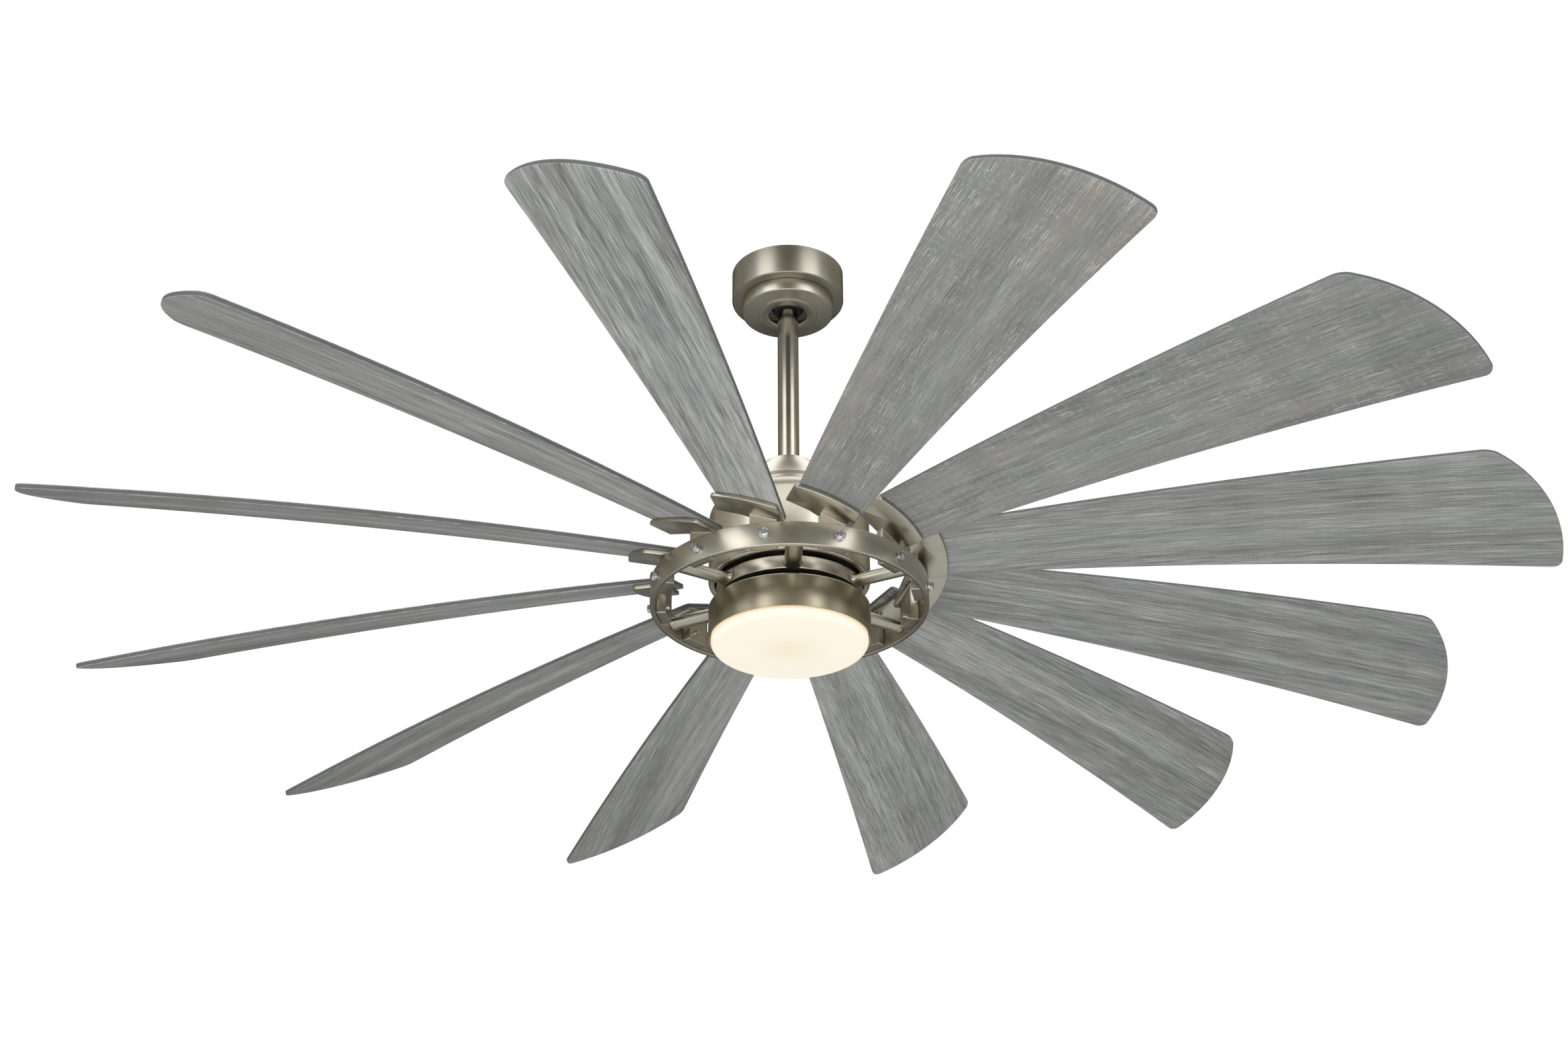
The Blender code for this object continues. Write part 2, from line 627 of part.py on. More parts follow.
def build_rotor_case(parent):
    """Turning motor case: a bell, its bottom cover, the magnets and two bearings."""
    bore_wall = case_bore + CASE_BOSS_WALL
    boss_low = case_top - BEARING_HEIGHT
    bell = [
        (case_bore, boss_low), (bore_wall, boss_low), (bore_wall, case_top - CASE_WALL),
        (case_inner, case_top - CASE_WALL), (case_inner, case_cover_top + GAP),
        (case_radius, case_cover_top + GAP), (case_radius, case_top), (case_bore, case_top)]
    add("rotor_case", revolve("rotor_case", bell, MIDDLE_SIDES), bare_steel("case_finish"), parent)
    cover_boss = case_bottom + BEARING_HEIGHT
    cover = [
        (case_bore, case_bottom), (case_radius, case_bottom), (case_radius, case_cover_top),
        (bore_wall, case_cover_top), (bore_wall, cover_boss), (case_bore, cover_boss)]
    add("rotor_cover", revolve("rotor_cover", cover, MIDDLE_SIDES), bare_steel("cover_finish"), parent)
    middle = (case_cover_top + case_top - CASE_WALL) / 2
    magnets = ring_outline(magnet_inner, magnet_outer, middle - MAGNET_HEIGHT / 2, middle + MAGNET_HEIGHT / 2)
    look = material("magnet_finish", (0.05, 0.05, 0.055), 0.55, 0.4)
    add("magnet_ring", revolve("magnet_ring", magnets, MIDDLE_SIDES), look, parent)
    for name, low in (("upper_bearing", boss_low), ("lower_bearing", case_bottom)):
        race = ring_outline(shaft_hole, bearing_radius, low, low + BEARING_HEIGHT)
        add(name, revolve(name, race, SMALL_SIDES), bare_steel(name + "_finish"), parent)


def build_hub(parent):
    """Hub: a visible outer band, a web and a boss that bolts under the motor case."""
    inner = hub_radius - HUB_BAND_WALL
    web_top = hub_middle + HUB_WEB_THICKNESS / 2
    web_low = web_top - HUB_WEB_THICKNESS
    boss_top = case_bottom - GAP
    profile = rounded([
        (HUB_BORE_RADIUS, web_low, 0), (inner, web_low, 0), (inner, hub_bottom, 0),
        (hub_radius, hub_bottom, HUB_EDGE_RADIUS), (hub_radius, hub_top, HUB_EDGE_RADIUS),
        (inner, hub_top, 0),
        (inner, web_top, 0), (HUB_BOSS_RADIUS, web_top, 0), (HUB_BOSS_RADIUS, boss_top, 0),
        (HUB_BORE_RADIUS, boss_top, 0)], 1)
    add("hub", revolve("hub", profile, LARGE_SIDES), satin_nickel("hub_finish"), parent)


def build_spokes(parent):
    """Oval spokes with a collar at each end, from the hub's band to the ring."""
    half = SPOKE_WIDTH / 2
    collar = half + SPOKE_COLLAR_WIDTH
    start = hub_radius + GAP
    end = math.sqrt(foot_reach ** 2 - collar ** 2)
    profile = [
        (0, start), (collar, start), (half, start + SPOKE_COLLAR_LENGTH),
        (half, end - SPOKE_COLLAR_LENGTH), (collar, end), (0, end)]
    mesh = revolve("spoke", profile, SPOKE_SIDES)
    flatten = Matrix.Diagonal((SPOKE_HEIGHT / SPOKE_WIDTH, 1, 1, 1))
    lay = Matrix.Rotation(math.radians(90), 4, "Y")
    mesh.transform(Matrix.Translation((0, 0, spoke_level)) @ lay @ flatten)
    look = satin_nickel("spoke_finish")
    for i in range(SPOKE_COUNT):
        add(f"spoke_{i + 1}", mesh, look, parent, SPOKE_ANGLE + i * math.tau / SPOKE_COUNT)


def bolt_angle(i):
    """Where a bracket's bolt passes through the ring."""
    return BLADE_ANGLE + LEG_ANGLE + i * math.tau / BLADE_COUNT


def build_ring(parent):
    """Flat band that carries the brackets, drilled for their bolts."""
    top = ring_level + RING_HEIGHT / 2
    bottom = ring_level - RING_HEIGHT / 2
    profile = rounded([
        (ring_inner, bottom, 0), (RING_RADIUS, bottom, RING_EDGE),
        (RING_RADIUS, top, RING_EDGE), (ring_inner, top, 0)], 1)
    band = revolve("blade_ring", profile, RING_SIDES)
    holes = []
    for i in range(BLADE_COUNT):
        way = Vector((math.cos(bolt_angle(i)), math.sin(bolt_angle(i)), 0))
        level = Vector((0, 0, ring_level))
        start = way * (ring_inner - OVERRUN) + level
        end = way * (RING_RADIUS + OVERRUN) + level
        holes.append(rod("hole", BOLT_RADIUS + GAP, start, end))
    add("blade_ring", combine(band, holes, "DIFFERENCE"), satin_nickel("ring_finish"), parent)


def plate_plane():
    """The pitched plane of the middle of a blade's root."""
    return Matrix.Translation((0, 0, blade_level)) @ Matrix.Rotation(-BLADE_PITCH, 4, "X")


def bracket_plate():
    """Plate under the blade's root, with an outer lip that is an arc."""
    centre = (PLATE_REACH - PLATE_LIP_RADIUS, -PLATE_LIP_OFFSET)
    low = math.asin((-PLATE_MINUS_WIDTH + PLATE_LIP_OFFSET) / PLATE_LIP_RADIUS)
    high = math.asin((PLATE_PLUS_WIDTH + PLATE_LIP_OFFSET) / PLATE_LIP_RADIUS)
    lip = arc(centre, PLATE_LIP_RADIUS, low, high, FINE_STEPS)
    corners = [(*point, 0) for point in lip]
    corners[0] = (*lip[0], PLATE_CORNER_RADIUS)
    corners[-1] = (*lip[-1], PLATE_CORNER_RADIUS)
    back = leg_inner + PLATE_BACK_STEP
    tail = leg_inner - PLATE_TAIL_OVERHANG
    corners += [
        (tail, PLATE_PLUS_WIDTH, PLATE_CORNER_RADIUS), (leg_inner, -LEG_MINUS_WIDTH / 2, 0),
        (back, -LEG_MINUS_WIDTH, 0), (back, -PLATE_MINUS_WIDTH, PLATE_BACK_RADIUS)]
    top = -BLADE_THICKNESS / 2 - GAP
    plate = extrude("plate", rounded(corners), top - PLATE_THICKNESS, top)
    plate.transform(plate_plane())
    return plate


def bracket_leg():
    """Leg that drops inside the ring, with a bend above and a foot against the ring."""
    slope = math.tan(BLADE_PITCH)
    drop = (BLADE_THICKNESS / 2 + GAP + PLATE_THICKNESS) / math.cos(BLADE_PITCH)
    under_plate = blade_level - drop + LEG_WELD
    foot_low = ring_level - RING_HEIGHT / 2 + FOOT_LIFT
    foot_top = foot_low + FOOT_HEIGHT
    bend = min(LEG_BEND_RADIUS, LEG_THICKNESS)
    fixed = [
        (leg_outer, foot_top + LEG_STANDOFF), (foot_reach, foot_top),
        (foot_reach, foot_low), (leg_inner, foot_low)]
    inner_arc = arc((leg_inner + bend, under_plate - bend), bend, math.pi, math.pi / 2, ARC_STEPS)
    fillet = LEG_FILLET_RADIUS
    outer_arc = arc((leg_outer + fillet, under_plate - fillet), fillet, math.pi / 2, math.pi, ARC_STEPS)
    crown = [(x, z + LEG_SINK) for x, z in (inner_arc[-1], outer_arc[0])]
    sheared = inner_arc + crown + outer_arc
    turn = Matrix.Rotation(LEG_ANGLE, 3, "Z")
    bm = bmesh.new()
    rows = []
    for y in (-LEG_MINUS_WIDTH, LEG_PLUS_WIDTH):
        row = []
        for x, z in fixed:
            reach = math.sqrt(x ** 2 - y ** 2) if x == foot_reach else x
            row.append(bm.verts.new(turn @ Vector((reach, y, z))))
        for x, z in sheared:
            point = turn @ Vector((x, y, z))
            point.z -= slope * point.y
            row.append(bm.verts.new(point))
        rows.append(row)
    count = len(rows[0])
    for i in range(count):
        j = (i + 1) % count
        bm.faces.new((rows[0][i], rows[0][j], rows[1][j], rows[1][i]))
    bm.faces.new(rows[0])
    bm.faces.new(rows[1][::-1])
    bmesh.ops.triangulate(bm, faces=bm.faces)
    return finish_mesh(bm, "leg")


def bracket_bolt():
    """Hexagon bolt through the ring, with its end just inside the leg."""
    way = Matrix.Rotation(LEG_ANGLE, 3, "Z") @ Vector((1, 0, 0))
    level = Vector((0, 0, ring_level))
    washer_start = RING_RADIUS + GAP
    head_start = washer_start + BOLT_WASHER_HEIGHT
    shank = rod("shank", BOLT_RADIUS, way * (leg_inner - BOLT_END) + level,
                way * (washer_start + GAP) + level)
    washer = rod("washer", BOLT_WASHER_RADIUS, way * washer_start + level,
                 way * (head_start + GAP) + level, WASHER_SIDES)
    hexagon = rod("hexagon", BOLT_HEAD_WIDTH / math.sqrt(3), way * head_start + level,
                  way * (head_start + BOLT_HEAD_HEIGHT) + level, 6)
    return [shank, washer, hexagon]


def build_brackets(parent):
    """Blade brackets, each with the bolt that holds it to the ring."""
    # The leg's faces run parallel to the plate's, where the exact solver returns nothing
    mesh = combine(bracket_plate(), [bracket_leg()] + bracket_bolt(), "UNION", "MANIFOLD")
    look = satin_nickel("bracket_finish")
    for i in range(BLADE_COUNT):
        turn = BLADE_ANGLE + i * math.tau / BLADE_COUNT
        add(f"blade_bracket_{i + 1:02d}", mesh, look, parent, turn)


def blade_outline():
    """Flat blade: straight edges that widen outwards and a tip that is an arc."""
    centre = (BLADE_TIP_REACH - BLADE_TIP_RADIUS, BLADE_TIP_OFFSET)
    low = math.asin((-BLADE_TIP_MINUS_WIDTH - BLADE_TIP_OFFSET) / BLADE_TIP_RADIUS)
    high = math.asin((BLADE_TIP_PLUS_WIDTH - BLADE_TIP_OFFSET) / BLADE_TIP_RADIUS)
    tip = arc(centre, BLADE_TIP_RADIUS, low, high, FINE_STEPS)
    corners = [(BLADE_ROOT_REACH, -BLADE_ROOT_MINUS_WIDTH, BLADE_ROOT_CORNER_RADIUS)]
    corners += [(*tip[0], BLADE_CORNER_RADIUS)] + [(*point, 0) for point in tip[1:-1]]
    corners += [(*tip[-1], BLADE_CORNER_RADIUS)]
    corners += [(BLADE_ROOT_REACH, BLADE_ROOT_PLUS_WIDTH, BLADE_ROOT_CORNER_RADIUS)]
    return rounded(corners)


def bend_blade(point):
    """Place a point of the flat blade on the pitched, twisted and drooping one."""
    share = max(0, (point.x - PLATE_REACH) / (BLADE_TIP_REACH - PLATE_REACH))
    turn = Matrix.Rotation(-BLADE_PITCH - BLADE_TWIST * share, 3, "X")
    bent = turn @ Vector((0, point.y, point.z))
    return Vector((point.x, bent.y, bent.z + blade_level - BLADE_DROOP * share ** 2))


def build_blades(parent):
    """Blades: a flat outline with chamfered edges, then bent to its real form."""
    bm = bmesh.new()
    half = BLADE_THICKNESS / 2
    face = bm.faces.new([bm.verts.new((x, y, -half)) for x, y in blade_outline()])
    raised = bmesh.ops.extrude_face_region(bm, geom=[face])
    moved = [v for v in raised["geom"] if isinstance(v, bmesh.types.BMVert)]
    bmesh.ops.translate(bm, verts=moved, vec=(0, 0, BLADE_THICKNESS))
    bmesh.ops.recalc_face_normals(bm, faces=bm.faces)
    rims = [e for e in bm.edges if abs(e.verts[0].co.z - e.verts[1].co.z) < GAP]
    bmesh.ops.bevel(bm, geom=rims, offset=BLADE_EDGE, segments=1, affect="EDGES")
    for share in (0, *blade_station_shares):
        station = Vector((PLATE_REACH + (BLADE_TIP_REACH - PLATE_REACH) * share, 0, 0))
        everything = bm.verts[:] + bm.edges[:] + bm.faces[:]
        bmesh.ops.bisect_plane(bm, geom=everything, plane_co=station, plane_no=(1, 0, 0))
    bmesh.ops.triangulate(bm, faces=bm.faces)
    for vert in bm.verts:
        vert.co = bend_blade(vert.co)
    mesh = finish_mesh(bm, "blade")
    look = material("blade_finish", wood_color, 0.6, 0.0)
    for i in range(BLADE_COUNT):
        turn = BLADE_ANGLE + i * math.tau / BLADE_COUNT
        add(f"blade_{i + 1:02d}", mesh, look, parent, turn)


def build_light_plate(parent):
    """Plate on the end of the shaft that carries the light, and its nut."""
    plate = ring_outline(shaft_hole, LIGHT_PLATE_RADIUS, light_plate_bottom, light_plate_top)
    add("light_plate", revolve("light_plate", plate, MIDDLE_SIDES), bare_steel("light_plate_finish"), parent)
    top = light_plate_bottom - GAP
    nut = rod("shaft_nut", NUT_WIDTH / math.sqrt(3), (0, 0, top - NUT_HEIGHT), (0, 0, top), 6)
    bore = rod("bore", shaft_hole, (0, 0, top - NUT_HEIGHT - OVERRUN), (0, 0, top + OVERRUN), SMALL_SIDES)
    add("shaft_nut", combine(nut, [bore], "DIFFERENCE"), bare_steel("nut_finish"), parent)


def sector(name, inner, outer, width, middle, bottom, top):
    """A short piece of a ring."""
    low, high = middle - width / 2, middle + width / 2
    outline = arc((0, 0), outer, low, high, ARC_STEPS + 1) + arc((0, 0), inner, high, low, ARC_STEPS + 1)
    return extrude(name, outline, bottom, top)


def build_light_drum(parent):
    """Light drum: a shallow pan, open below, with ledges that hold the lens."""
    wall = DRUM_WALL
    hole = NUT_WIDTH / math.sqrt(3) + DRUM_HOLE_MARGIN
    profile = rounded([
        (hole, drum_top, 0), (hole, drum_top - wall, 0), (drum_inner, drum_top - wall, 0),
        (drum_inner, drum_bottom, 0),
        (drum_radius, drum_bottom, 0), (drum_radius, drum_top, DRUM_TOP_RADIUS)])
    pan = revolve("light_drum", profile, LARGE_SIDES)
    ledges = []
    for i in range(LUG_COUNT):
        ledges.append(sector("ledge", lens_neck + GAP, drum_inner + wall / 2, LEDGE_ANGLE,
                             i * math.tau / LUG_COUNT, ledge_bottom, ledge_top))
    add("light_drum", combine(pan, ledges, "UNION"), satin_nickel("drum_finish"), parent)


def build_driver(parent):
    """Driver box under the drum's top, beside the shaft."""
    half = DRIVER_LENGTH / 2
    near = DRIVER_OFFSET - DRIVER_WIDTH / 2
    outline = box_outline(-half, half, near, near + DRIVER_WIDTH, DRIVER_EDGE)
    top = drum_top - DRUM_WALL - GAP
    mesh = extrude("led_driver", outline, top - DRIVER_HEIGHT, top)
    look = material("driver_finish", (0.75, 0.75, 0.73), 0.5, 0.0)
    add("led_driver", mesh, look, parent)


def build_tray(parent):
    """Tray that carries the light board on posts from the drum's top."""
    disc = ring_outline(shaft_hole, drum_inner - GAP * 2, tray_top - TRAY_THICKNESS, tray_top)
    posts = []
    for i in range(TRAY_POST_COUNT):
        angle = -math.pi / 2 + i * math.tau / TRAY_POST_COUNT
        x, y = TRAY_POST_REACH * math.cos(angle), TRAY_POST_REACH * math.sin(angle)
        posts.append(rod("post", TRAY_POST_RADIUS, (x, y, tray_top - TRAY_THICKNESS / 2),
                         (x, y, drum_top - DRUM_WALL - GAP)))
    mesh = combine(revolve("led_tray", disc, LARGE_SIDES), posts, "UNION")
    add("led_tray", mesh, bare_steel("tray_finish"), parent)
    top = tray_top - TRAY_THICKNESS - GAP
    board = ring_outline(shaft_hole, board_radius, top - BOARD_THICKNESS, top)
    look = material("board_finish", (0.85, 0.86, 0.84), 0.4, 0.0)
    add("led_board", revolve("led_board", board, MIDDLE_SIDES), look, parent)


def build_lens(parent):
    """Opal lens: a shallow cup with a rounded edge, and lugs on its neck for the drum's ledges."""
    wall = LENS_WALL
    rim = drum_bottom + LENS_RIM_HEIGHT
    flat = drum_bottom - LENS_DEPTH
    dome = flat - LENS_DOME
    dome_radius = (lens_outer ** 2 + LENS_DOME ** 2) / (2 * LENS_DOME)
    corners = [
        (lens_neck - wall, lens_neck_top, 0), (lens_neck - wall, flat + wall, LENS_EDGE_RADIUS - wall),
        (0, dome + wall, 0), (0, dome, 0)]
    for step in range(1, ARC_STEPS + 1):
        radius = lens_outer * step / (ARC_STEPS + 1)
        corners.append((radius, dome + dome_radius - math.sqrt(dome_radius ** 2 - radius ** 2), 0))
    corners += [
        (lens_outer, flat, LENS_EDGE_RADIUS), (lens_outer, rim, 0), (lens_neck, rim, 0),
        (lens_neck, lens_neck_top, 0)]
    cup = revolve("lens", rounded(corners), LARGE_SIDES)
    lugs = []
    for i in range(LUG_COUNT):
        lugs.append(sector("lug", lens_neck - wall / 2, lens_outer, LUG_ANGLE, i * math.tau / LUG_COUNT,
                           lug_bottom, lug_top))
    look = material("lens_finish", (0.95, 0.90, 0.80), 0.25, 0.0)
    add("lens", combine(cup, lugs, "UNION"), look, parent)


def main():
    clear_scene()
    ceiling = carrier("ceiling_frame", 0)
    for build in (build_hanger, build_canopy, build_canopy_cover, build_receiver):
        build(ceiling)
    ball = carrier("ball_pivot", ball_level, ceiling)
    for build in (build_ball, build_downrod, build_yoke, build_coupling_cover, build_housing, build_shaft,
                  build_stator, build_light_plate, build_light_drum, build_driver, build_tray):
        build(ball)
    rotor = carrier("rotor_axis", ring_level, ball)
    for build in (build_rotor_case, build_hub, build_spokes, build_ring, build_brackets, build_blades):
        build(rotor)
    build_lens(carrier("lens_axis", drum_bottom, ball))


main()
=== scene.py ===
# %% [markdown]
# # A ceiling fan with twelve blades, dressed for its picture
# The solids of the fan come from the CAD model, which knows what each piece is called and what it moves
# with. This lesson puts finer shapes and real finishes on them: satin nickel, weathered wood, chrome and
# opal glass. Everything is in metres, +Z is up, and the middle of the ceiling face is the origin, so the
# fan hangs below it.

# %% Bring in the frame
import math
import bmesh
import bpy
from mathutils import Matrix, Vector


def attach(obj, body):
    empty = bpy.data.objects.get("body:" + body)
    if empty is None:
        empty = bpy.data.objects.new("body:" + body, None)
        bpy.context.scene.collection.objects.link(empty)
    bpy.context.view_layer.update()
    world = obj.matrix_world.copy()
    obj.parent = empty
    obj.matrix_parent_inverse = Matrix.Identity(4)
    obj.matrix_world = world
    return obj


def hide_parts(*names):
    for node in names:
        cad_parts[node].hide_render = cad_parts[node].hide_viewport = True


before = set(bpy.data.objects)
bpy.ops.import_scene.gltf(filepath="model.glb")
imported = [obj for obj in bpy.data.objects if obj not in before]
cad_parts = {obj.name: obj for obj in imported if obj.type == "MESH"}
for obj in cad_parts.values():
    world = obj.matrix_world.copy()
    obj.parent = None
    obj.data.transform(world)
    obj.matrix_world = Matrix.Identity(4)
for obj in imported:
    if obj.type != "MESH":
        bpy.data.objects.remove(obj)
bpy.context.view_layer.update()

# %% [markdown]
# ## The camera
# The photograph looks up at the fan from in front and below. Its focal length and place were found by
# matching the ellipses of the ring, the light and the canopy, so the picture's size, 2368 by 1568, belongs
# to them. A camera looks down its own -Z, so it is first set upright, then leaned and moved.

# %% Place the camera
PICTURE_WIDTH = 2368
FOCAL_PIXELS = 3747.2
SENSOR_WIDTH = 36
CAMERA_PLACE = (0, -2.7015, -1.8098)
CAMERA_PAN = 0.0023
CAMERA_RISE = 0.4927
CAMERA_ROLL = 0.0047
UPRIGHT = Matrix.Rotation(math.pi / 2, 4, "X")
camera_data = bpy.data.cameras.new("camera")
camera_data.sensor_fit = "HORIZONTAL"
camera_data.sensor_width = SENSOR_WIDTH
camera_data.lens = FOCAL_PIXELS / PICTURE_WIDTH * SENSOR_WIDTH
camera = bpy.data.objects.new("camera", camera_data)
lean = (Matrix.Rotation(CAMERA_PAN, 4, "Z") @ Matrix.Rotation(CAMERA_RISE, 4, "X")
        @ Matrix.Rotation(CAMERA_ROLL, 4, "Y"))
camera.matrix_world = Matrix.Translation(CAMERA_PLACE) @ lean @ UPRIGHT
bpy.context.scene.collection.objects.link(camera)
bpy.context.scene.camera = camera
bpy.context.scene.view_settings.view_transform = "Standard"
print("lens", round(camera_data.lens, 2), "mm")

# %% [markdown]
# ## Shader maths as plain expressions
# A shader is a graph of nodes, and sums in it need a Math node each. It is easier to read as an expression,
# so this small class wraps a socket, and each operator on it adds the Math node that does the sum.

# %% Wrap a socket
class Wire:
    """A node's output that can be used in a Python expression."""

    def __init__(self, finish, socket):
        self.finish = finish
        self.socket = socket

    def maths(self, operation, first, second=None, clamp=False):
        values = {0: first} if second is None else {0: first, 1: second}
        return self.finish.add("ShaderNodeMath", {"operation": operation, "use_clamp": clamp}, values)

    def __add__(self, other):
        return self.maths("ADD", self, other)

    def __radd__(self, other):
        return self.maths("ADD", other, self)

    def __sub__(self, other):
        return self.maths("SUBTRACT", self, other)

    def __rsub__(self, other):
        return self.maths("SUBTRACT", other, self)

    def __mul__(self, other):
        return self.maths("MULTIPLY", self, other)

    def __rmul__(self, other):
        return self.maths("MULTIPLY", other, self)

    def __pow__(self, other):
        return self.maths("POWER", self, other)

    def held(self):
        """The value kept between 0 and 1."""
        return self.maths("ADD", self, 0, clamp=True)


print("sums of sockets can be written as expressions")

# %% [markdown]
# ## One helper for every other node
# A finish is a material under construction. Its `add` method takes a node's type, its settings, which are
# set first, and what goes into its sockets, and gives back the node's output as a Wire.

# %% Build a finish
class Finish:
    """A material whose nodes are added one call at a time."""

    def __init__(self, name, **fixed):
        self.material = bpy.data.materials.new(name)
        self.material.use_nodes = True
        self.tree = self.material.node_tree
        self.shader = self.tree.nodes["Principled BSDF"]
        for socket, value in fixed.items():
            self.shader.inputs[socket.replace("_", " ").title()].default_value = value

    def add(self, kind, settings=None, values=None, output=0):
        node = self.tree.nodes.new(kind)
        for key, value in (settings or {}).items():
            if key == "stops":
                set_stops(node, value)
            else:
                setattr(node, key, value)
        for key, value in (values or {}).items():
            self.plug(value, node.inputs[key])
        return Wire(self, node.outputs[output])

    def plug(self, value, socket):
        if isinstance(value, Wire):
            self.tree.links.new(value.socket, socket)
        elif isinstance(value, tuple) and len(value) == 3 and socket.type == "RGBA":
            socket.default_value = (*value, 1)
        else:
            socket.default_value = value

    def set(self, **values):
        for key, value in values.items():
            self.plug(value, self.shader.inputs[key.replace("_", " ").title()])
        return self.material


def set_stops(node, stops):
    """Put (position, colour) stops on a colour ramp."""
    ramp = node.color_ramp
    while len(ramp.elements) < len(stops):
        ramp.elements.new(1)
    for element, (position, color) in zip(ramp.elements, stops):
        element.position = position
        element.color = (*color, 1)


print("finishes can be built")

# %% [markdown]
# ## Patterns that several finishes share
# Noise stands for almost every uneven thing on a real surface. It is read in Object coordinates, in metres,
# so the size of a cloud or a speck is a real size and stays the same on a big piece and a small one.

# %% Name the shared patterns
def place_of(finish):
    return finish.add("ShaderNodeTexCoord", output="Object")


def noise(finish, vector, size, detail=2.0, roughness=0.5):
    """Noise whose features are about `size` metres across, from 0 to 1."""
    values = {"Vector": vector, "Scale": 1 / size, "Detail": detail, "Roughness": roughness}
    return finish.add("ShaderNodeTexNoise", {}, values)


def stretched(finish, vector, x, y, z, shift=(0, 0, 0)):
    """The same coordinates, stretched differently along each axis."""
    return finish.add("ShaderNodeMapping", {}, {"Vector": vector, "Scale": (x, y, z), "Location": shift})


def blend(finish, share, first, second):
    """A colour between two colours."""
    return finish.add("ShaderNodeMix", {"data_type": "RGBA"}, {0: share, 6: first, 7: second}, 2)


def bump(finish, height, depth, strength=1.0):
    return finish.add("ShaderNodeBump", {}, {"Height": height, "Distance": depth, "Strength": strength})


def step(finish, value, low, high):
    """0 below `low`, 1 above `high`, smooth between."""
    values = {0: value, 1: low, 2: high}
    return finish.add("ShaderNodeMapRange", {"interpolation_type": "SMOOTHSTEP"}, values)


print("patterns ready")

# %% [markdown]
# ## Satin nickel
# The metalwork is plated and then bead blasted. The blasting leaves a very fine even tooth that spreads the
# reflections, and handling leaves faint cloudy changes of gloss. Both are small, or the metal looks like
# stone. One function makes the plating, and a factor on its colour paints light and shade part by part:
# lighter on the housing, cone and hub, darker on the canopy, and darker and browner on the drum, which the
# ring shades. The drawn tube under it all is smoother and shines more, and its colour is painted darker.

# %% Make the satin nickel
NICKEL_LIGHT = (0.485, 0.456, 0.385)
NICKEL_DARK = (0.435, 0.407, 0.338)
SATIN_GLOSS = 0.32
TUBE_GLOSS = 0.2
TOOTH_DEPTH = 0.00006


def shade_scaled(color, painted_light):
    return tuple(part * share for part, share in zip(color, painted_light))


def satin_nickel(name, gloss=SATIN_GLOSS, painted_light=(1.0, 1.0, 1.0)):
    """One plating, whose colour its last argument makes lighter, darker or warmer, as painted light and
    shade.
    """
    finish = Finish(name, metallic=1.0)
    place = place_of(finish)
    cloud = noise(finish, place, size=0.045, detail=3)
    tooth = noise(finish, place, size=0.0006, detail=1)
    smear = noise(finish, stretched(finish, place, 1, 1, 5), size=0.02, detail=4)
    clouded = step(finish, cloud, 0.3, 0.7)
    color = blend(finish, clouded, shade_scaled(NICKEL_DARK, painted_light), shade_scaled(NICKEL_LIGHT, painted_light))
    roughness = gloss + (cloud - 0.5) * 0.06 + (smear - 0.5) * 0.05 + (tooth - 0.5) * 0.08
    return finish.set(Base_Color=color, Roughness=roughness.held(),
                      Normal=bump(finish, tooth, TOOTH_DEPTH, 0.35))


nickel = satin_nickel("satin_nickel")
# Copies whose colour paints light and shade: lighter for the housing, cone and hub, darker for the canopy,
# darker and browner for the drum, and darker for the tube.
nickel_painted_lighter = satin_nickel("satin_nickel_painted_lighter", painted_light=(1.24, 1.24, 1.24))
nickel_painted_shade = satin_nickel("satin_nickel_painted_shade", painted_light=(0.8, 0.8, 0.8))
nickel_warm_painted_shade = satin_nickel("satin_nickel_warm_painted_shade", painted_light=(0.88, 0.84, 0.73))
nickel_tube_painted_shade = satin_nickel("satin_nickel_tube_painted_shade", TUBE_GLOSS, (0.86, 0.86, 0.86))
print("made", nickel.name, "in five tints")

# %% [markdown]
# ## Weathered wood
# The blades have a grey wash over brushed grain. Up close it is a set of layers, each with its own length
# and width: fine fibres, longer streaks and soft bands of tone, then thin dark pores, pale combed lines,
# and short cream scratches where the wash is rubbed through. The grain has to run along each blade, so the
# pattern reads the blade's own UV map: u runs along it and v across, both in metres. Two functions draw
# every layer. `strands` stretches a noise along the grain, for what is soft. `ticks` stretches the cells of
# a Voronoi texture and keeps the middle of some, for marks that are straight, thin and apart, which a noise
# would turn to lumps. A tick takes up only `TICK_SHARE` of its cell each way, so neighbours don't touch.

# %% Make the strands and ticks
TICK_SHARE = 0.4


def strands(finish, flat, length, width, seed, detail=2.0, roughness=0.5):
    """Noise drawn out along the grain: features `length` long and `width` across, in metres."""
    drawn = stretched(finish, flat, 1 / length, 1 / width, 1, (seed * 1.7, seed * 3.1, 0))
    return noise(finish, drawn, 1, detail, roughness)


def ticks(finish, flat, length, width, seed):
    """Separate marks up to `length` long and `width` across, in about half of the cells, from 0 to 1."""
    drawn = stretched(finish, flat, TICK_SHARE / length, TICK_SHARE / width, 1,
                      (seed * 2.3, seed * 1.9, 0))
    near = finish.add("ShaderNodeTexVoronoi", {"voronoi_dimensions": "2D"}, {"Vector": drawn, "Scale": 1.0})
    chance = Wire(finish, near.socket.node.outputs["Color"])
    draw = finish.add("ShaderNodeSeparateColor", {}, {0: chance})
    return step(finish, near, TICK_SHARE / 2, TICK_SHARE / 4) * step(finish, draw, 0.4, 0.8)


def board_value(finish, name):
    """A number that the blade's mesh carries, such as how brushed this board is."""
    return finish.add("ShaderNodeAttribute", {"attribute_name": name}, output=2)


print("strands are soft layers and ticks are crisp ones")
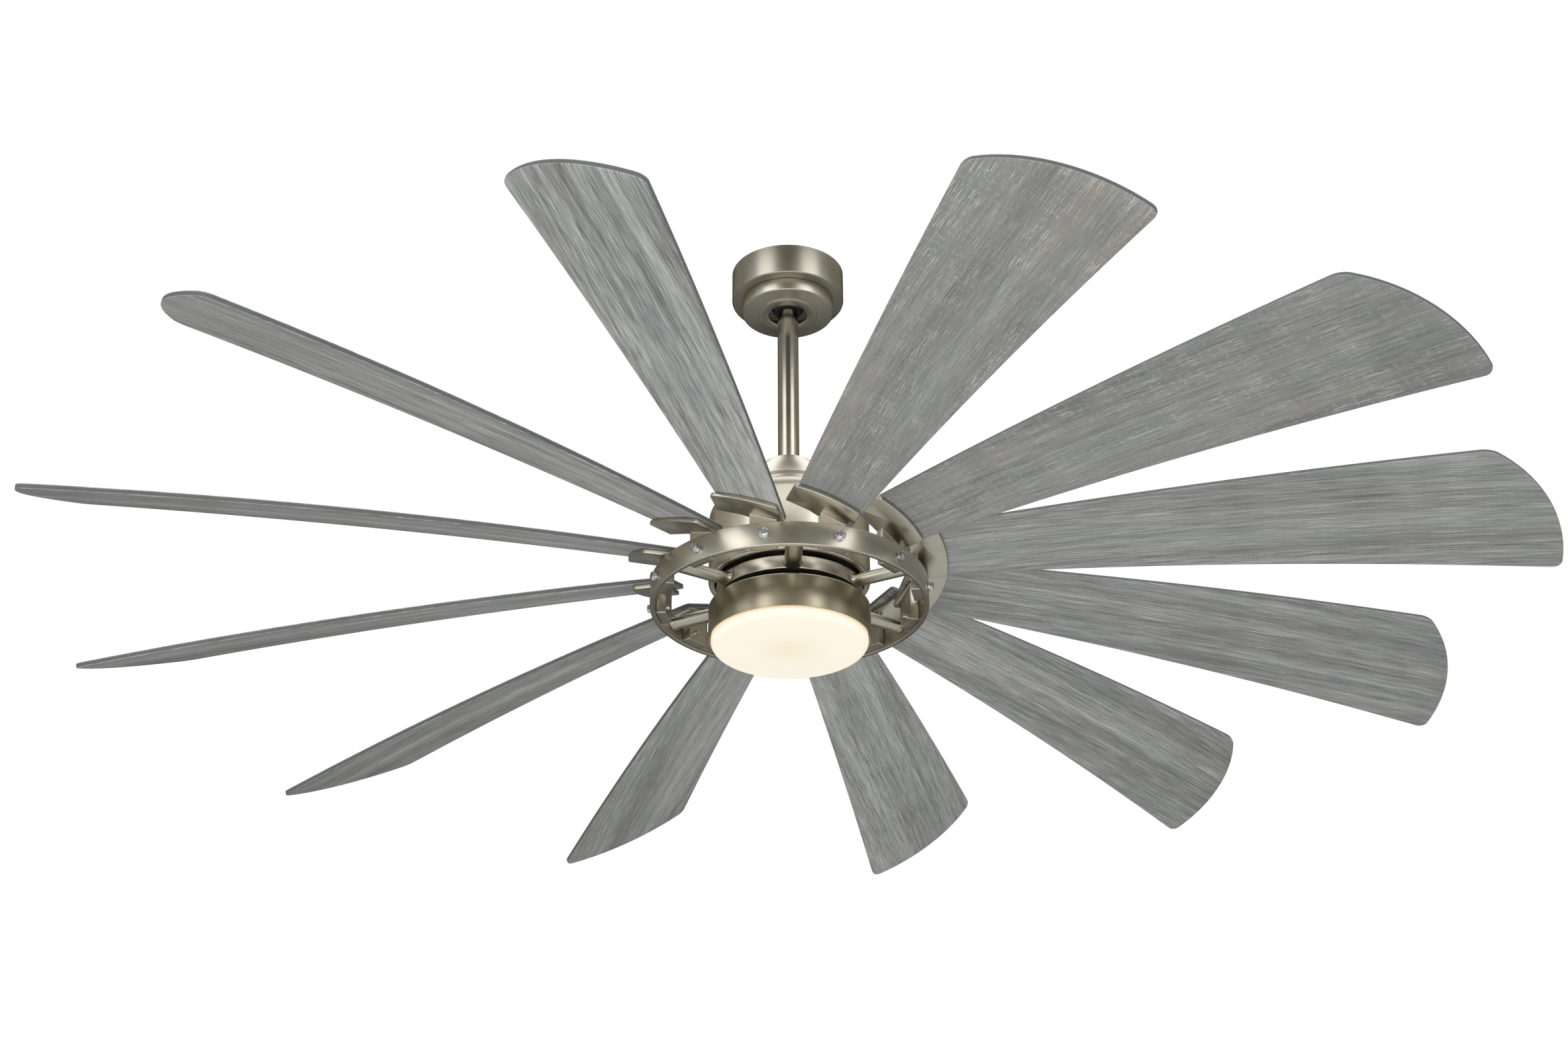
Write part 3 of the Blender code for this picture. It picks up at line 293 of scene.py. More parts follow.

# %% [markdown]
# The wood lays these over each other, as the maker does: the stain and its bands of tone, a blue and a
# brown cast, combed lines, pores, and last the wear. Over it goes painted shade. Four numbers come from
# each board's mesh. `brushed` and `rubbed` say how strongly the grain and the scratches show on this board,
# `wash` how light its stain is, and `rim` how near a point lies to the board's edge: 0 in the middle, 1 at
# the edge and more on the edge's own wall. So the worn lip, and the painted shade on the edge's wall and in
# a dark line just inside the lip, follow the outline with no texture drawn for them.

# %% Make the wood
WASH_DARK = (0.105, 0.107, 0.101)
WASH_MIDDLE = (0.236, 0.238, 0.225)
WASH_LIGHT = (0.46, 0.462, 0.438)
WASH_BROWN = (0.255, 0.222, 0.185)
WASH_BLUE = (0.225, 0.240, 0.250)
PORE_COLOR = (0.06, 0.062, 0.062)
SCRATCH_COLOR = (0.72, 0.69, 0.59)
# the dark of the painted shade on the blade's edge wall and in a line just inside the lip
EDGE_SHADE_COLOR = (0.05, 0.052, 0.054)
LIP_COLOR = (0.50, 0.50, 0.48)
WOOD_GLOSS = 0.50
GRAIN_DEPTH = 0.0005


def weathered_wood(name):
    finish = Finish(name, metallic=0.0)
    flat = finish.add("ShaderNodeUVMap", {"uv_map": "grain"})
    brushed = board_value(finish, "brushed")
    rubbed = board_value(finish, "rubbed")
    rim = board_value(finish, "rim")
    wash = board_value(finish, "wash")

    # the stain: fibres, streaks and bands, then its blue and brown casts
    fibre = strands(finish, flat, length=0.05, width=0.00055, seed=1, detail=2, roughness=0.6)
    streak = strands(finish, flat, length=0.5, width=0.007, seed=2, detail=5, roughness=0.65)
    band = strands(finish, flat, length=1.1, width=0.04, seed=3)
    broad = (streak - 0.5) * 1.4 + (band - 0.5) * 1.2
    tone = 0.5 + wash + (fibre - 0.5) * (0.6 + brushed * 2.5) + broad * (0.1 + brushed * 1.1)
    color = finish.add("ShaderNodeValToRGB", {"stops": [
        (0.05, WASH_DARK), (0.5, WASH_MIDDLE), (0.95, WASH_LIGHT)]}, {0: tone.held()})
    cool = step(finish, strands(finish, flat, length=0.5, width=0.05, seed=4), 0.42, 0.62)
    color = blend(finish, cool * brushed * 0.3, color, WASH_BLUE)
    warm = step(finish, strands(finish, flat, length=0.5, width=0.03, seed=5), 0.45, 0.75)
    color = blend(finish, warm * rubbed * 0.5, color, WASH_BROWN)

    # pale combed lines and dark pores
    combed = ticks(finish, flat, length=0.07, width=0.0006, seed=11)
    color = blend(finish, combed * brushed * 0.6, color, SCRATCH_COLOR)
    long_pore = ticks(finish, flat, length=0.13, width=0.0008, seed=6)
    pore = (long_pore + ticks(finish, flat, length=0.03, width=0.0005, seed=12) * 0.6).held()
    color = blend(finish, pore * brushed * 0.85, color, PORE_COLOR)

    # scratches, specks and hairs, which come in patches
    cloud = strands(finish, flat, length=0.35, width=0.02, seed=7, detail=3)
    patch = 0.25 + step(finish, cloud, 0.38, 0.66) * 0.75
    scratch = ticks(finish, flat, length=0.022, width=0.0006, seed=8)
    speck = ticks(finish, flat, length=0.005, width=0.0005, seed=9)
    hair = ticks(finish, flat, length=0.05, width=0.0004, seed=10)
    rubbed_through = (scratch * 0.8 + speck * 0.7 + hair * 0.5).held() * patch
    color = blend(finish, rubbed_through * rubbed, color, SCRATCH_COLOR)

    # the worn lip, then painted shade: a dark line just inside the lip and on the edge's wall
    lip = step(finish, rim + (streak - 0.5) * 0.5, 0.6, 0.8)
    color = blend(finish, lip * 0.55, color, LIP_COLOR)
    # painted shade, darkening the edge's wall and a line just inside the lip
    inner_line_shade = step(finish, rim, 0.36, 0.5) * step(finish, rim + (streak - 0.5) * 0.4, 0.72, 0.58)
    wall_shade = step(finish, rim, 1.05, 1.3)
    color = blend(finish, (inner_line_shade * 0.4 + wall_shade * 0.8).held(), color, EDGE_SHADE_COLOR)

    height = fibre * 0.5 + streak * 0.4 - pore * 0.6 + rubbed_through * 0.4
    roughness = WOOD_GLOSS + (fibre - 0.5) * 0.25 + (band - 0.5) * 0.1
    return finish.set(Base_Color=color, Roughness=roughness.held(),
                      Normal=bump(finish, height, GRAIN_DEPTH, 0.6))


wood = weathered_wood("weathered_wood")
print("made", wood.name, "with", len(wood.node_tree.nodes), "nodes")

# %% [markdown]
# ## The small finishes
# Bolts are bright chrome, the ball under the canopy is black nylon, hidden brackets are zinc plated steel,
# and each hidden electrical piece has the finish that it has when the fan is opened.

# %% Make the small finishes
def mottled(name, first, second, gloss, metallic=0.0, size=0.006, depth=0.00004):
    """A plain finish with a little variation of colour, gloss and height."""
    finish = Finish(name, metallic=metallic)
    place = place_of(finish)
    cloud = noise(finish, place, size, 4)
    tooth = noise(finish, place, size=0.0009, detail=2)
    color = blend(finish, step(finish, cloud, 0.3, 0.7), first, second)
    roughness = gloss + (cloud - 0.5) * 0.12
    return finish.set(Base_Color=color, Roughness=roughness.held(), Normal=bump(finish, tooth, depth, 0.5))


chrome = mottled("bright_chrome", (0.55, 0.55, 0.56), (0.47, 0.475, 0.49), 0.12, metallic=1.0, depth=0.000004)
nylon = mottled("black_nylon", (0.004, 0.004, 0.005), (0.009, 0.009, 0.010), 0.6)
zinc = mottled("zinc_plate", (0.50, 0.50, 0.49), (0.40, 0.41, 0.40), 0.36, metallic=1.0, size=0.004)
iron = mottled("laminated_iron", (0.16, 0.13, 0.11), (0.10, 0.08, 0.07), 0.5, metallic=0.8)
magnet = mottled("magnet_black", (0.03, 0.03, 0.034), (0.06, 0.06, 0.064), 0.5, metallic=0.3)
casing = mottled("white_casing", (0.70, 0.70, 0.68), (0.62, 0.62, 0.60), 0.45)
print("made", [finish.name for finish in (chrome, nylon, zinc, iron, magnet, casing)])

# %% [markdown]
# ## Opal glass, lit
# The lens glows nearly evenly: cream white, a little deeper at the middle under the light board, and amber
# in the thin band by the metal where the light has come the long way through the wall.

# %% Make the lens finish
LENS_RADIUS = 0.0951
DRUM_BOTTOM = -0.5268
GLOW_MIDDLE = (0.90, 0.80, 0.60)
GLOW_FIELD = (0.95, 0.885, 0.74)
GLOW_EDGE = (0.92, 0.74, 0.48)
GLOW_STRENGTH = 0.875
AMBER_WIDTH = 0.003
OPAL_WHITE = (0.20, 0.19, 0.165)
OPAL_AMBER = (0.20, 0.15, 0.09)


def opal(name):
    finish = Finish(name, metallic=0.0, roughness=0.16, emission_strength=GLOW_STRENGTH, coat_weight=0.3)
    place = place_of(finish)
    axes = [finish.add("ShaderNodeSeparateXYZ", {}, {0: place}, i) for i in range(3)]
    reach = (axes[0] ** 2 + axes[1] ** 2) ** 0.5
    cloud = noise(finish, place, size=0.03, detail=2)
    from_middle = step(finish, reach + (cloud - 0.5) * 0.02, 0.004, 0.055)
    by_metal = (step(finish, reach, LENS_RADIUS - AMBER_WIDTH, LENS_RADIUS)
                * step(finish, axes[2], DRUM_BOTTOM - AMBER_WIDTH, DRUM_BOTTOM))
    glow = blend(finish, by_metal, blend(finish, from_middle, GLOW_MIDDLE, GLOW_FIELD), GLOW_EDGE)
    base = blend(finish, by_metal, OPAL_WHITE, OPAL_AMBER)
    return finish.set(Base_Color=base, Emission_Color=glow, Normal=bump(finish, cloud, 0.0002, 0.1))


glass = opal("opal_glass")
print("made", glass.name, "that glows", GLOW_STRENGTH)

# %% [markdown]
# ## Turning round pieces
# Most of the metal is round, as it is spun or turned on a lathe in the factory. A few points give the
# profile, a full spin gives the shell, and each corner is then rounded by bevelling the ring of edges that
# it became.

# %% Make a bevel and a lathe
LATHE_STEPS = 144
TINY = 0.00002
EASED_SEGMENTS = 3
WIDE_ROUNDING = 0.004
WIDE_SEGMENTS = 8


def bevel(bm, geom, width, segments=EASED_SEGMENTS, affect="EDGES"):
    bmesh.ops.bevel(bm, geom=geom, offset=width, offset_type="OFFSET", segments=segments, profile=0.5,
                    affect=affect, material=-1)


def loop_edges(bm, radius, height):
    """The ring of edges that one corner of a profile became."""
    def on_loop(vert):
        return abs(math.hypot(vert.co.x, vert.co.y) - radius) < TINY and abs(vert.co.z - height) < TINY
    return [edge for edge in bm.edges if on_loop(edge.verts[0]) and on_loop(edge.verts[1])]


def lathe(profile, steps=LATHE_STEPS):
    """Spin (radius, height, rounding) corners of a closed profile round Z, then round the corners."""
    bm = bmesh.new()
    verts = [bm.verts.new((radius, 0, height)) for radius, height, rounding in profile]
    edges = [bm.edges.new((verts[i - 1], verts[i])) for i in range(len(verts))]
    bmesh.ops.spin(bm, geom=verts + edges, cent=(0, 0, 0), axis=(0, 0, 1), angle=math.tau, steps=steps,
                   use_merge=True)
    bmesh.ops.remove_doubles(bm, verts=bm.verts, dist=TINY / 4)
    bmesh.ops.recalc_face_normals(bm, faces=bm.faces)
    for radius, height, rounding in profile:
        if rounding:
            segments = WIDE_SEGMENTS if rounding > WIDE_ROUNDING else EASED_SEGMENTS
            bevel(bm, loop_edges(bm, radius, height), rounding, segments)
    return bm


print("a lathe of", LATHE_STEPS, "steps is ready")

# %% [markdown]
# A few small jobs come up for most of the other pieces. A flat outline becomes a board when all its faces
# are pulled one way, sharp rims are eased, a plane cuts new edges where a surface has to bend, and a piece
# is turned to its place round the fan. Two meshes are joined through a throwaway mesh, as bmesh has no
# operator for it.

# %% Pull, ease, cut, turn and join
def new_verts(made):
    """The points that a bmesh operator made."""
    return [item for item in made["geom"] if isinstance(item, bmesh.types.BMVert)]


def pull(bm, way):
    """Extrude every face by `way`, so that a flat outline becomes a board."""
    raised = bmesh.ops.extrude_face_region(bm, geom=bm.faces[:])
    bmesh.ops.translate(bm, verts=new_verts(raised), vec=way)
    bmesh.ops.recalc_face_normals(bm, faces=bm.faces)


def ease_rims(bm, width, least=35):
    """Bevel every edge that is sharper than `least` degrees."""
    sharp = [e for e in bm.edges if len(e.link_faces) == 2 and e.calc_face_angle() > math.radians(least)]
    bevel(bm, sharp, width)


def round_corners(bm, corners, rounding, segments):
    """Round corners of a flat outline."""
    bevel(bm, corners, rounding, segments, affect="VERTICES")


def cut_at(bm, place, way, clear_outer=False):
    """Cut new edges where the plane through `place`, square to `way`, meets the mesh."""
    return bmesh.ops.bisect_plane(bm, geom=bm.verts[:] + bm.edges[:] + bm.faces[:], plane_co=place,
                                  plane_no=way, clear_outer=clear_outer)


def turned(bm, angle):
    bmesh.ops.rotate(bm, verts=bm.verts, cent=(0, 0, 0), matrix=Matrix.Rotation(angle, 3, "Z"))
    return bm


def join(target, other):
    carrier = bpy.data.meshes.new("carrier")
    other.to_mesh(carrier)
    other.free()
    target.from_mesh(carrier)
    bpy.data.meshes.remove(carrier)


print("the small jobs have names")

# %% [markdown]
# A finished bmesh becomes an object at the origin, smooth between its sharp edges. It rides with one body
# of the CAD model, and where it stands for CAD nodes, those are hidden.

# %% Turn a mesh into a piece
def dress(name, bm, finish, body, replaced=(), sharp=32):
    bmesh.ops.dissolve_degenerate(bm, edges=bm.edges, dist=TINY / 10)
    mesh = bpy.data.meshes.new(name)
    bm.to_mesh(mesh)
    bm.free()
    mesh.shade_smooth()
    mesh.set_sharp_from_angle(angle=math.radians(sharp))
    mesh.materials.append(finish)
    piece = bpy.data.objects.new(name, mesh)
    bpy.context.scene.collection.objects.link(piece)
    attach(piece, body)
    if replaced:
        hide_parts(*replaced)
    print(name, len(mesh.polygons), "faces on", body)


print("pieces can be dressed")

# %% [markdown]
# ## Canopy and its cover
# The canopy is a shallow drum against the ceiling, and under it a stepped cover hides the screws. Both are
# thin spun metal with softly rolled edges, which catch the light as bright lines.

# %% Canopy
WALL = 0.0015
FIT_GAP = 0.0003
CANOPY_RADIUS = 0.072
CANOPY_FLOOR = -0.0415
OPENING_RADIUS = 0.044
canopy = lathe([
    (OPENING_RADIUS, CANOPY_FLOOR, 0), (CANOPY_RADIUS, CANOPY_FLOOR, 0.0022), (CANOPY_RADIUS, 0, 0),
    (CANOPY_RADIUS - WALL, 0, 0), (CANOPY_RADIUS - WALL, CANOPY_FLOOR + WALL, 0.0008),
    (OPENING_RADIUS, CANOPY_FLOOR + WALL, 0)])
dress("canopy_shell", canopy, nickel_painted_shade, "mount", ["canopy"])

# %% [markdown]
# The cover steps in twice on its way down to the rod, and a short spigot centres it in the canopy's
# opening. Each step is two corners of the profile, and a small rounding on each keeps the light line thin.

# %% Canopy cover
COVER_RADIUS = 0.0587
COVER_TOP = -0.0418
COVER_BOTTOM = -0.059
COLLAR_RADIUS = 0.0378
COLLAR_BOTTOM = -0.0615
COLLAR_HOLE = 0.0247
SPIGOT_TOP = -0.0378
SPIGOT_RADIUS = OPENING_RADIUS - FIT_GAP
cover = lathe([
    (COLLAR_HOLE, COLLAR_BOTTOM, 0.0006), (COLLAR_RADIUS, COLLAR_BOTTOM, 0.0008),
    (COLLAR_RADIUS, COVER_BOTTOM, 0.0004), (COVER_RADIUS, COVER_BOTTOM, 0.002),
    (COVER_RADIUS, COVER_TOP, 0.0005), (SPIGOT_RADIUS, COVER_TOP, 0), (SPIGOT_RADIUS, SPIGOT_TOP, 0),
    (SPIGOT_RADIUS - WALL, SPIGOT_TOP, 0), (SPIGOT_RADIUS - WALL, COVER_TOP - WALL, 0),
    (COVER_RADIUS - WALL, COVER_TOP - WALL, 0), (COVER_RADIUS - WALL, COVER_BOTTOM + WALL, 0),
    (COLLAR_HOLE, COVER_BOTTOM + WALL, 0)])
dress("canopy_cover_shell", cover, nickel, "mount", ["canopy_cover"])

# %% [markdown]
# ## Ball and rod
# A nylon ball sits in the hanger and lets the fan hang plumb. It is a sphere with a flat cut above and
# below, and a hole through both for the rod. Cutting a sphere by planes and bridging the two holes keeps it
# one solid.

# %% Ball
ROD_RADIUS = 0.01335
BALL_LEVEL = -0.035
BALL_RADIUS = 0.027
BALL_FLAT = 0.0155
ball = bmesh.new()
bmesh.ops.create_uvsphere(ball, u_segments=64, v_segments=40, radius=BALL_RADIUS)
bmesh.ops.translate(ball, verts=ball.verts, vec=(0, 0, BALL_LEVEL))
half_height = math.sqrt(BALL_RADIUS ** 2 - BALL_FLAT ** 2)
shrink = (ROD_RADIUS + FIT_GAP) / BALL_FLAT
for side in (-1, 1):
    sliced = cut_at(ball, (0, 0, BALL_LEVEL + side * half_height), (0, 0, side), clear_outer=True)
    rim = [edge for edge in sliced["geom_cut"] if isinstance(edge, bmesh.types.BMEdge)]
    inner = new_verts(bmesh.ops.extrude_edge_only(ball, edges=rim))
    bmesh.ops.scale(ball, verts=inner, vec=(shrink, shrink, 1))
bmesh.ops.bridge_loops(ball, edges=[edge for edge in ball.edges if edge.is_boundary])
bmesh.ops.recalc_face_normals(ball, faces=ball.faces)
dress("nylon_ball", ball, nylon, "hanging", ["hanger_ball"])

# %% [markdown]
# The rod is a steel tube, drawn and then plated, so it is smoother than the spun pieces and shows long
# bright and dark bands. Its profile is a thin rectangle, spun like the rest.

# %% Rod
ROD_BORE = 0.01095
ROD_TOP = -0.0165
ROD_BOTTOM = -0.3213
ROD_STEPS = 96
rod = lathe([
    (ROD_BORE, ROD_BOTTOM, 0), (ROD_RADIUS, ROD_BOTTOM, 0.0005), (ROD_RADIUS, ROD_TOP, 0.0005),
    (ROD_BORE, ROD_TOP, 0)], ROD_STEPS)
dress("rod_tube", rod, nickel_tube_painted_shade, "hanging", ["downrod"])

# %% [markdown]
# ## Coupling cover and motor housing
# The cone slides down the rod during fitting and hides the yoke. Its hole is a little wider than the rod,
# so that it can slide.

# %% Coupling cover
HOUSING_TOP = -0.326
CONE_BASE = HOUSING_TOP + FIT_GAP
CONE_TOP = CONE_BASE + 0.0405
CONE_HOLE = ROD_RADIUS + 0.0006
cone = lathe([
    (0.064, CONE_BASE, 0.0004), (0.0315, CONE_TOP, 0.0022), (CONE_HOLE, CONE_TOP, 0.0004),
    (CONE_HOLE, CONE_TOP - WALL, 0), (0.03, CONE_TOP - WALL, 0), (0.061, CONE_BASE, 0)])
dress("coupling_cone", cone, nickel_painted_lighter, "hanging", ["coupling_cover"])

# %% [markdown]
# The housing is one spun shell: a raised band, a sloping shoulder, a straight side and a rim turned in
# below. Its profile goes down inside the wall and back up outside, and the two corners of the shoulder get
# wide roundings with many segments, as a large soft bend shows every flat.

# %% Motor housing
HOUSING_RADIUS = 0.0987
HOUSING_BOTTOM = -0.4507
HOUSING_WALL = 0.002
BAND_RADIUS = 0.0665
BAND_LOW = -0.332
BAND_FOOT = 0.068
SHOULDER = -0.3525
RIM_RADIUS = 0.0912
NECK_HOLE = 0.01945
housing = lathe([
    (NECK_HOLE, HOUSING_TOP, 0), (NECK_HOLE, HOUSING_TOP - HOUSING_WALL, 0),
    (BAND_RADIUS - HOUSING_WALL, HOUSING_TOP - HOUSING_WALL, 0),
    (BAND_RADIUS - HOUSING_WALL, BAND_LOW - HOUSING_WALL, 0),
    (HOUSING_RADIUS - HOUSING_WALL, SHOULDER - HOUSING_WALL, 0.011),
    (HOUSING_RADIUS - HOUSING_WALL, HOUSING_BOTTOM + HOUSING_WALL, 0),
    (RIM_RADIUS, HOUSING_BOTTOM + HOUSING_WALL, 0), (RIM_RADIUS, HOUSING_BOTTOM, 0.0005),
    (HOUSING_RADIUS, HOUSING_BOTTOM, 0.0025), (HOUSING_RADIUS, SHOULDER, 0.013),
    (BAND_FOOT, BAND_LOW, 0.0006), (BAND_RADIUS, BAND_LOW, 0.0004), (BAND_RADIUS, HOUSING_TOP, 0.0012)])
dress("housing_shell", housing, nickel_painted_lighter, "hanging", ["motor_housing"])

# %% [markdown]
# ## Hub, spokes and ring
# The hub's band turns in the groove under the housing. Behind it a thin web carries it to the boss that is
# screwed to the motor, so the profile runs in along the web and back out.

# %% Hub
HUB_RADIUS = 0.089
HUB_TOP = -0.455
HUB_BOTTOM = -0.4726
HUB_INNER = 0.085
HUB_BORE = 0.022
BOSS_RADIUS = 0.04
BOSS_TOP = -0.4463
WEB_LEVEL = -0.4638
WEB_HALF = 0.002
hub = lathe([
    (HUB_BORE, WEB_LEVEL - WEB_HALF, 0), (HUB_INNER, WEB_LEVEL - WEB_HALF, 0),
    (HUB_INNER, HUB_BOTTOM, 0.0004), (HUB_RADIUS, HUB_BOTTOM, 0.0012),
    (HUB_RADIUS, HUB_TOP, 0.0012), (HUB_INNER, HUB_TOP, 0.0004),
    (HUB_INNER, WEB_LEVEL + WEB_HALF, 0), (BOSS_RADIUS, WEB_LEVEL + WEB_HALF, 0),
    (BOSS_RADIUS, BOSS_TOP, 0), (HUB_BORE, BOSS_TOP, 0)])
dress("hub_band", hub, nickel_painted_lighter, "rotor", ["hub"])

# %% [markdown]
# The ring is a rolled flat band with eased edges. It is the widest round piece, so it takes more steps.

# %% Ring
RING_RADIUS = 0.1694
RING_INNER = 0.1634
RING_TOP = -0.45285
RING_BOTTOM = -0.48315
RING_STEPS = 240
ring = lathe([
    (RING_INNER, RING_BOTTOM, 0.0009), (RING_RADIUS, RING_BOTTOM, 0.0012), (RING_RADIUS, RING_TOP, 0.0009),
    (RING_INNER, RING_TOP, 0.0009)], RING_STEPS)
dress("ring_band", ring, nickel, "rotor", ["blade_ring"])

# %% [markdown]
# Six oval spokes leave the hub's band through small pads and end against the ring. A spoke is turned on the
# lathe with a flare at both ends, flattened to an oval and laid on its side. The pad is a thin block, cut
# into strips so that it can be curved to lie on the band.

# %% Spokes with their saddles
SPOKES = 6
SPOKE_ANGLE = math.radians(32.6)
SPOKE_LEVEL = -0.4663
SPOKE_START = HUB_RADIUS + FIT_GAP
SPOKE_END = 0.1627
SPOKE_WIDTH = 0.021
SPOKE_HEIGHT = 0.0139
SPOKE_STEPS = 48
FLARE = 0.004
SADDLE_SIZE = (0.0012, 0.027, 0.0115)
SADDLE_STRIP = 0.0022
SADDLE_CUTS = 5
SADDLE_SEAT = SPOKE_START + 0.0007
SADDLE_LEVEL = SPOKE_LEVEL + 0.0008


def spoke():
    """An oval bar with a flare at the hub, lying along +X."""
    half = SPOKE_WIDTH / 2
    bm = lathe([
        (0, SPOKE_START, 0), (half + 0.0018, SPOKE_START, 0), (half + 0.0012, SPOKE_START + 0.0012, 0.0004),
        (half, SPOKE_START + FLARE, 0.002), (half, SPOKE_END - FLARE, 0.002),
        (half + 0.001, SPOKE_END - 0.001, 0.0004), (half + 0.001, SPOKE_END, 0), (0, SPOKE_END, 0)],
        SPOKE_STEPS)
    flatten = Matrix.Diagonal((SPOKE_HEIGHT / SPOKE_WIDTH, 1, 1, 1))
    lay = Matrix.Translation((0, 0, SPOKE_LEVEL)) @ Matrix.Rotation(math.pi / 2, 4, "Y") @ flatten
    bmesh.ops.transform(bm, matrix=lay, verts=bm.verts)
    return bm


def saddle():
    """The thin pad between the hub's band and a spoke, curved to lie on the band."""
    bm = bmesh.new()
    bmesh.ops.create_cube(bm, size=1)
    bmesh.ops.scale(bm, verts=bm.verts, vec=SADDLE_SIZE)
    ease_rims(bm, 0.0004)
    for strip in range(-SADDLE_CUTS, SADDLE_CUTS + 1):
        cut_at(bm, (0, strip * SADDLE_STRIP, 0), (0, 1, 0))
    for vert in bm.verts:
        vert.co.x += math.sqrt(SADDLE_SEAT ** 2 - vert.co.y ** 2)
    bmesh.ops.translate(bm, verts=bm.verts, vec=(0, 0, SADDLE_LEVEL))
    return bm


for i in range(SPOKES):
    bm = spoke()
    join(bm, saddle())
    turned(bm, SPOKE_ANGLE + i * math.tau / SPOKES)
    dress(f"spoke_bar_{i + 1}", bm, nickel, "rotor", [f"spoke_{i + 1}"])

# %% [markdown]
# ## Blades
# Each blade is a thin board cut to a wedge with an arc at its tip. A flat outline is the easy place to
# start: the corners are rounded, loops are inset along the edge for the wear, and the board gets its
# thickness and bevelled rims. Only then is it pitched, twisted and let droop, point by point.

# %% Draw the flat blade
BLADES = 12
BLADE_THICKNESS = 0.006
ROOT_REACH = 0.145
ROOT_PLUS = 0.032
ROOT_MINUS = -0.0434
TIP_REACH = 0.907
TIP_PLUS = 0.0878
TIP_MINUS = -0.0887
TIP_RADIUS = 0.176
TIP_OFFSET = 0.055
TIP_STEPS = 20
TIP_ROUNDING = 0.011
ROOT_ROUNDING = 0.004


def arc(centre, middle, radius, low, high, steps):
    """Points of an arc about (centre, middle), from y = low to y = high."""
    start, end = math.asin((low - middle) / radius), math.asin((high - middle) / radius)
    angles = [start + (end - start) * i / steps for i in range(steps + 1)]
    return [(centre + radius * math.cos(angle), middle + radius * math.sin(angle), 0) for angle in angles]


def flat_blade():
    """The outline as one face, with rounded corners."""
    bm = bmesh.new()
    tip = [bm.verts.new(point) for point in arc(
        TIP_REACH - TIP_RADIUS, TIP_OFFSET, TIP_RADIUS, TIP_MINUS, TIP_PLUS, TIP_STEPS)]
    root = [bm.verts.new((ROOT_REACH, y, 0)) for y in (ROOT_PLUS, ROOT_MINUS)]
    bm.faces.new(tip + root)
    round_corners(bm, [tip[0], tip[-1]], TIP_ROUNDING, 6)
    round_corners(bm, root, ROOT_ROUNDING, 6)
    return bm


print("blade outline has", len(flat_blade().verts), "points")

# %% [markdown]
# On the real board the paint is worn at the rim, so each point carries a number called `rim`, which the
# wood's material reads. The inset operator makes the loops that the number changes over: it is 1 on the
# outline, a half on the first loop and 0 inside the second. The walls get more than 1 after the bevel, so
# that the material paints shade on them.

# %% Give the blade its thickness, loops and bevels
LIP_WIDTH = 0.0022
WORN_WIDTH = 0.006
RIM_BEVEL = 0.0011
# the walls' rim value, at which the wood paints shade on them
WALL_SHADE_MARK = 1.6


def big_faces(bm):
    """The outline's own faces, which have far more corners than any strip."""
    return [face for face in bm.faces if len(face.verts) > 8]


def thick_blade():
    """A board with eased rims, each of whose points knows how near the rim it is."""
    bm = flat_blade()
    rim = bm.verts.layers.float.new("rim")
    for width in (LIP_WIDTH, WORN_WIDTH):
        bmesh.ops.inset_region(bm, faces=big_faces(bm), thickness=width, use_even_offset=True)
    middle = {vert for face in big_faces(bm) for vert in face.verts}
    for vert in bm.verts:
        vert[rim] = 0.0 if vert in middle else 1.0 if vert.is_boundary else 0.5
    bmesh.ops.translate(bm, verts=bm.verts, vec=(0, 0, -BLADE_THICKNESS / 2))
    pull(bm, (0, 0, BLADE_THICKNESS))
    walls = {face for face in bm.faces if abs(face.normal.z) < 0.5}
    bevel(bm, [edge for edge in bm.edges if len(edge.link_faces) == 2
               and sum(face in walls for face in edge.link_faces) == 1], RIM_BEVEL)
    for vert in bm.verts:
        if abs(vert.co.z) < BLADE_THICKNESS / 2 - RIM_BEVEL + TINY:
            vert[rim] = WALL_SHADE_MARK
    return bm


print("a thick blade has", len(thick_blade().faces), "faces")

# %% [markdown]
# The bend is a sum on each point and not a modifier, so its pitch, twist and droop are plain numbers, and
# the bracket's plate and the screws can take the same level and pitch. The board is pitched as a whole, and
# past the plate it also twists and droops.

# %% Bend a point
BLADE_LEVEL = -0.4294
BLADE_PITCH = math.radians(18.7)
BLADE_TWIST = math.radians(4.9)
BLADE_DROOP = 0.031
BLADE_ANGLE = math.radians(-13.06)
PLATE_REACH = 0.196


def bent(point):
    """Where a point of the flat blade lies on the pitched, twisted and drooping one."""
    share = max(0, (point.x - PLATE_REACH) / (TIP_REACH - PLATE_REACH))
    tilted = Matrix.Rotation(-BLADE_PITCH - BLADE_TWIST * share, 3, "X") @ Vector((0, point.y, point.z))
    return Vector((point.x, tilted.y, tilted.z + BLADE_LEVEL - BLADE_DROOP * share ** 2))


def blade_turn(index):
    """How far the blade of this index is turned round the fan."""
    return BLADE_ANGLE + index * math.tau / BLADES


print("the tip droops", round(1000 * BLADE_DROOP), "mm")

# %% [markdown]
# The grain needs a UV map before the bend, while x and y still measure the board. Each blade gets its own
# shift, as no two boards share their grain. Cuts across the board then give the twist enough points to bend
# smoothly. The three tables say how each board differs: no two take the stain alike, and two are rubbed
# nearly bare.

# %% Map the grain, cut, bend and place the blades
BRUSHED = (0.6, 0.65, 0.7, 0.6, 0.5, 0.7, 0.8, 0.6, 0.8, 1.0, 0.25, 0.35)
RUBBED = (0.35, 0.3, 0.4, 0.2, 0.3, 0.2, 0.3, 0.25, 0.4, 0.2, 1.0, 0.8)
WASHED = (-0.02, -0.04, 0.02, 0.17, 0.10, 0.06, 0.03, 0.03, 0.07, 0.12, -0.04, -0.15)
WASH_FALL = 0.12
STRIPS_ALONG = 26
CUTS_ACROSS = (-0.036, -0.018, 0, 0.018)
GRAIN_SHIFT = (1.37, 0.41)
TOP_SHIFT = 0.23


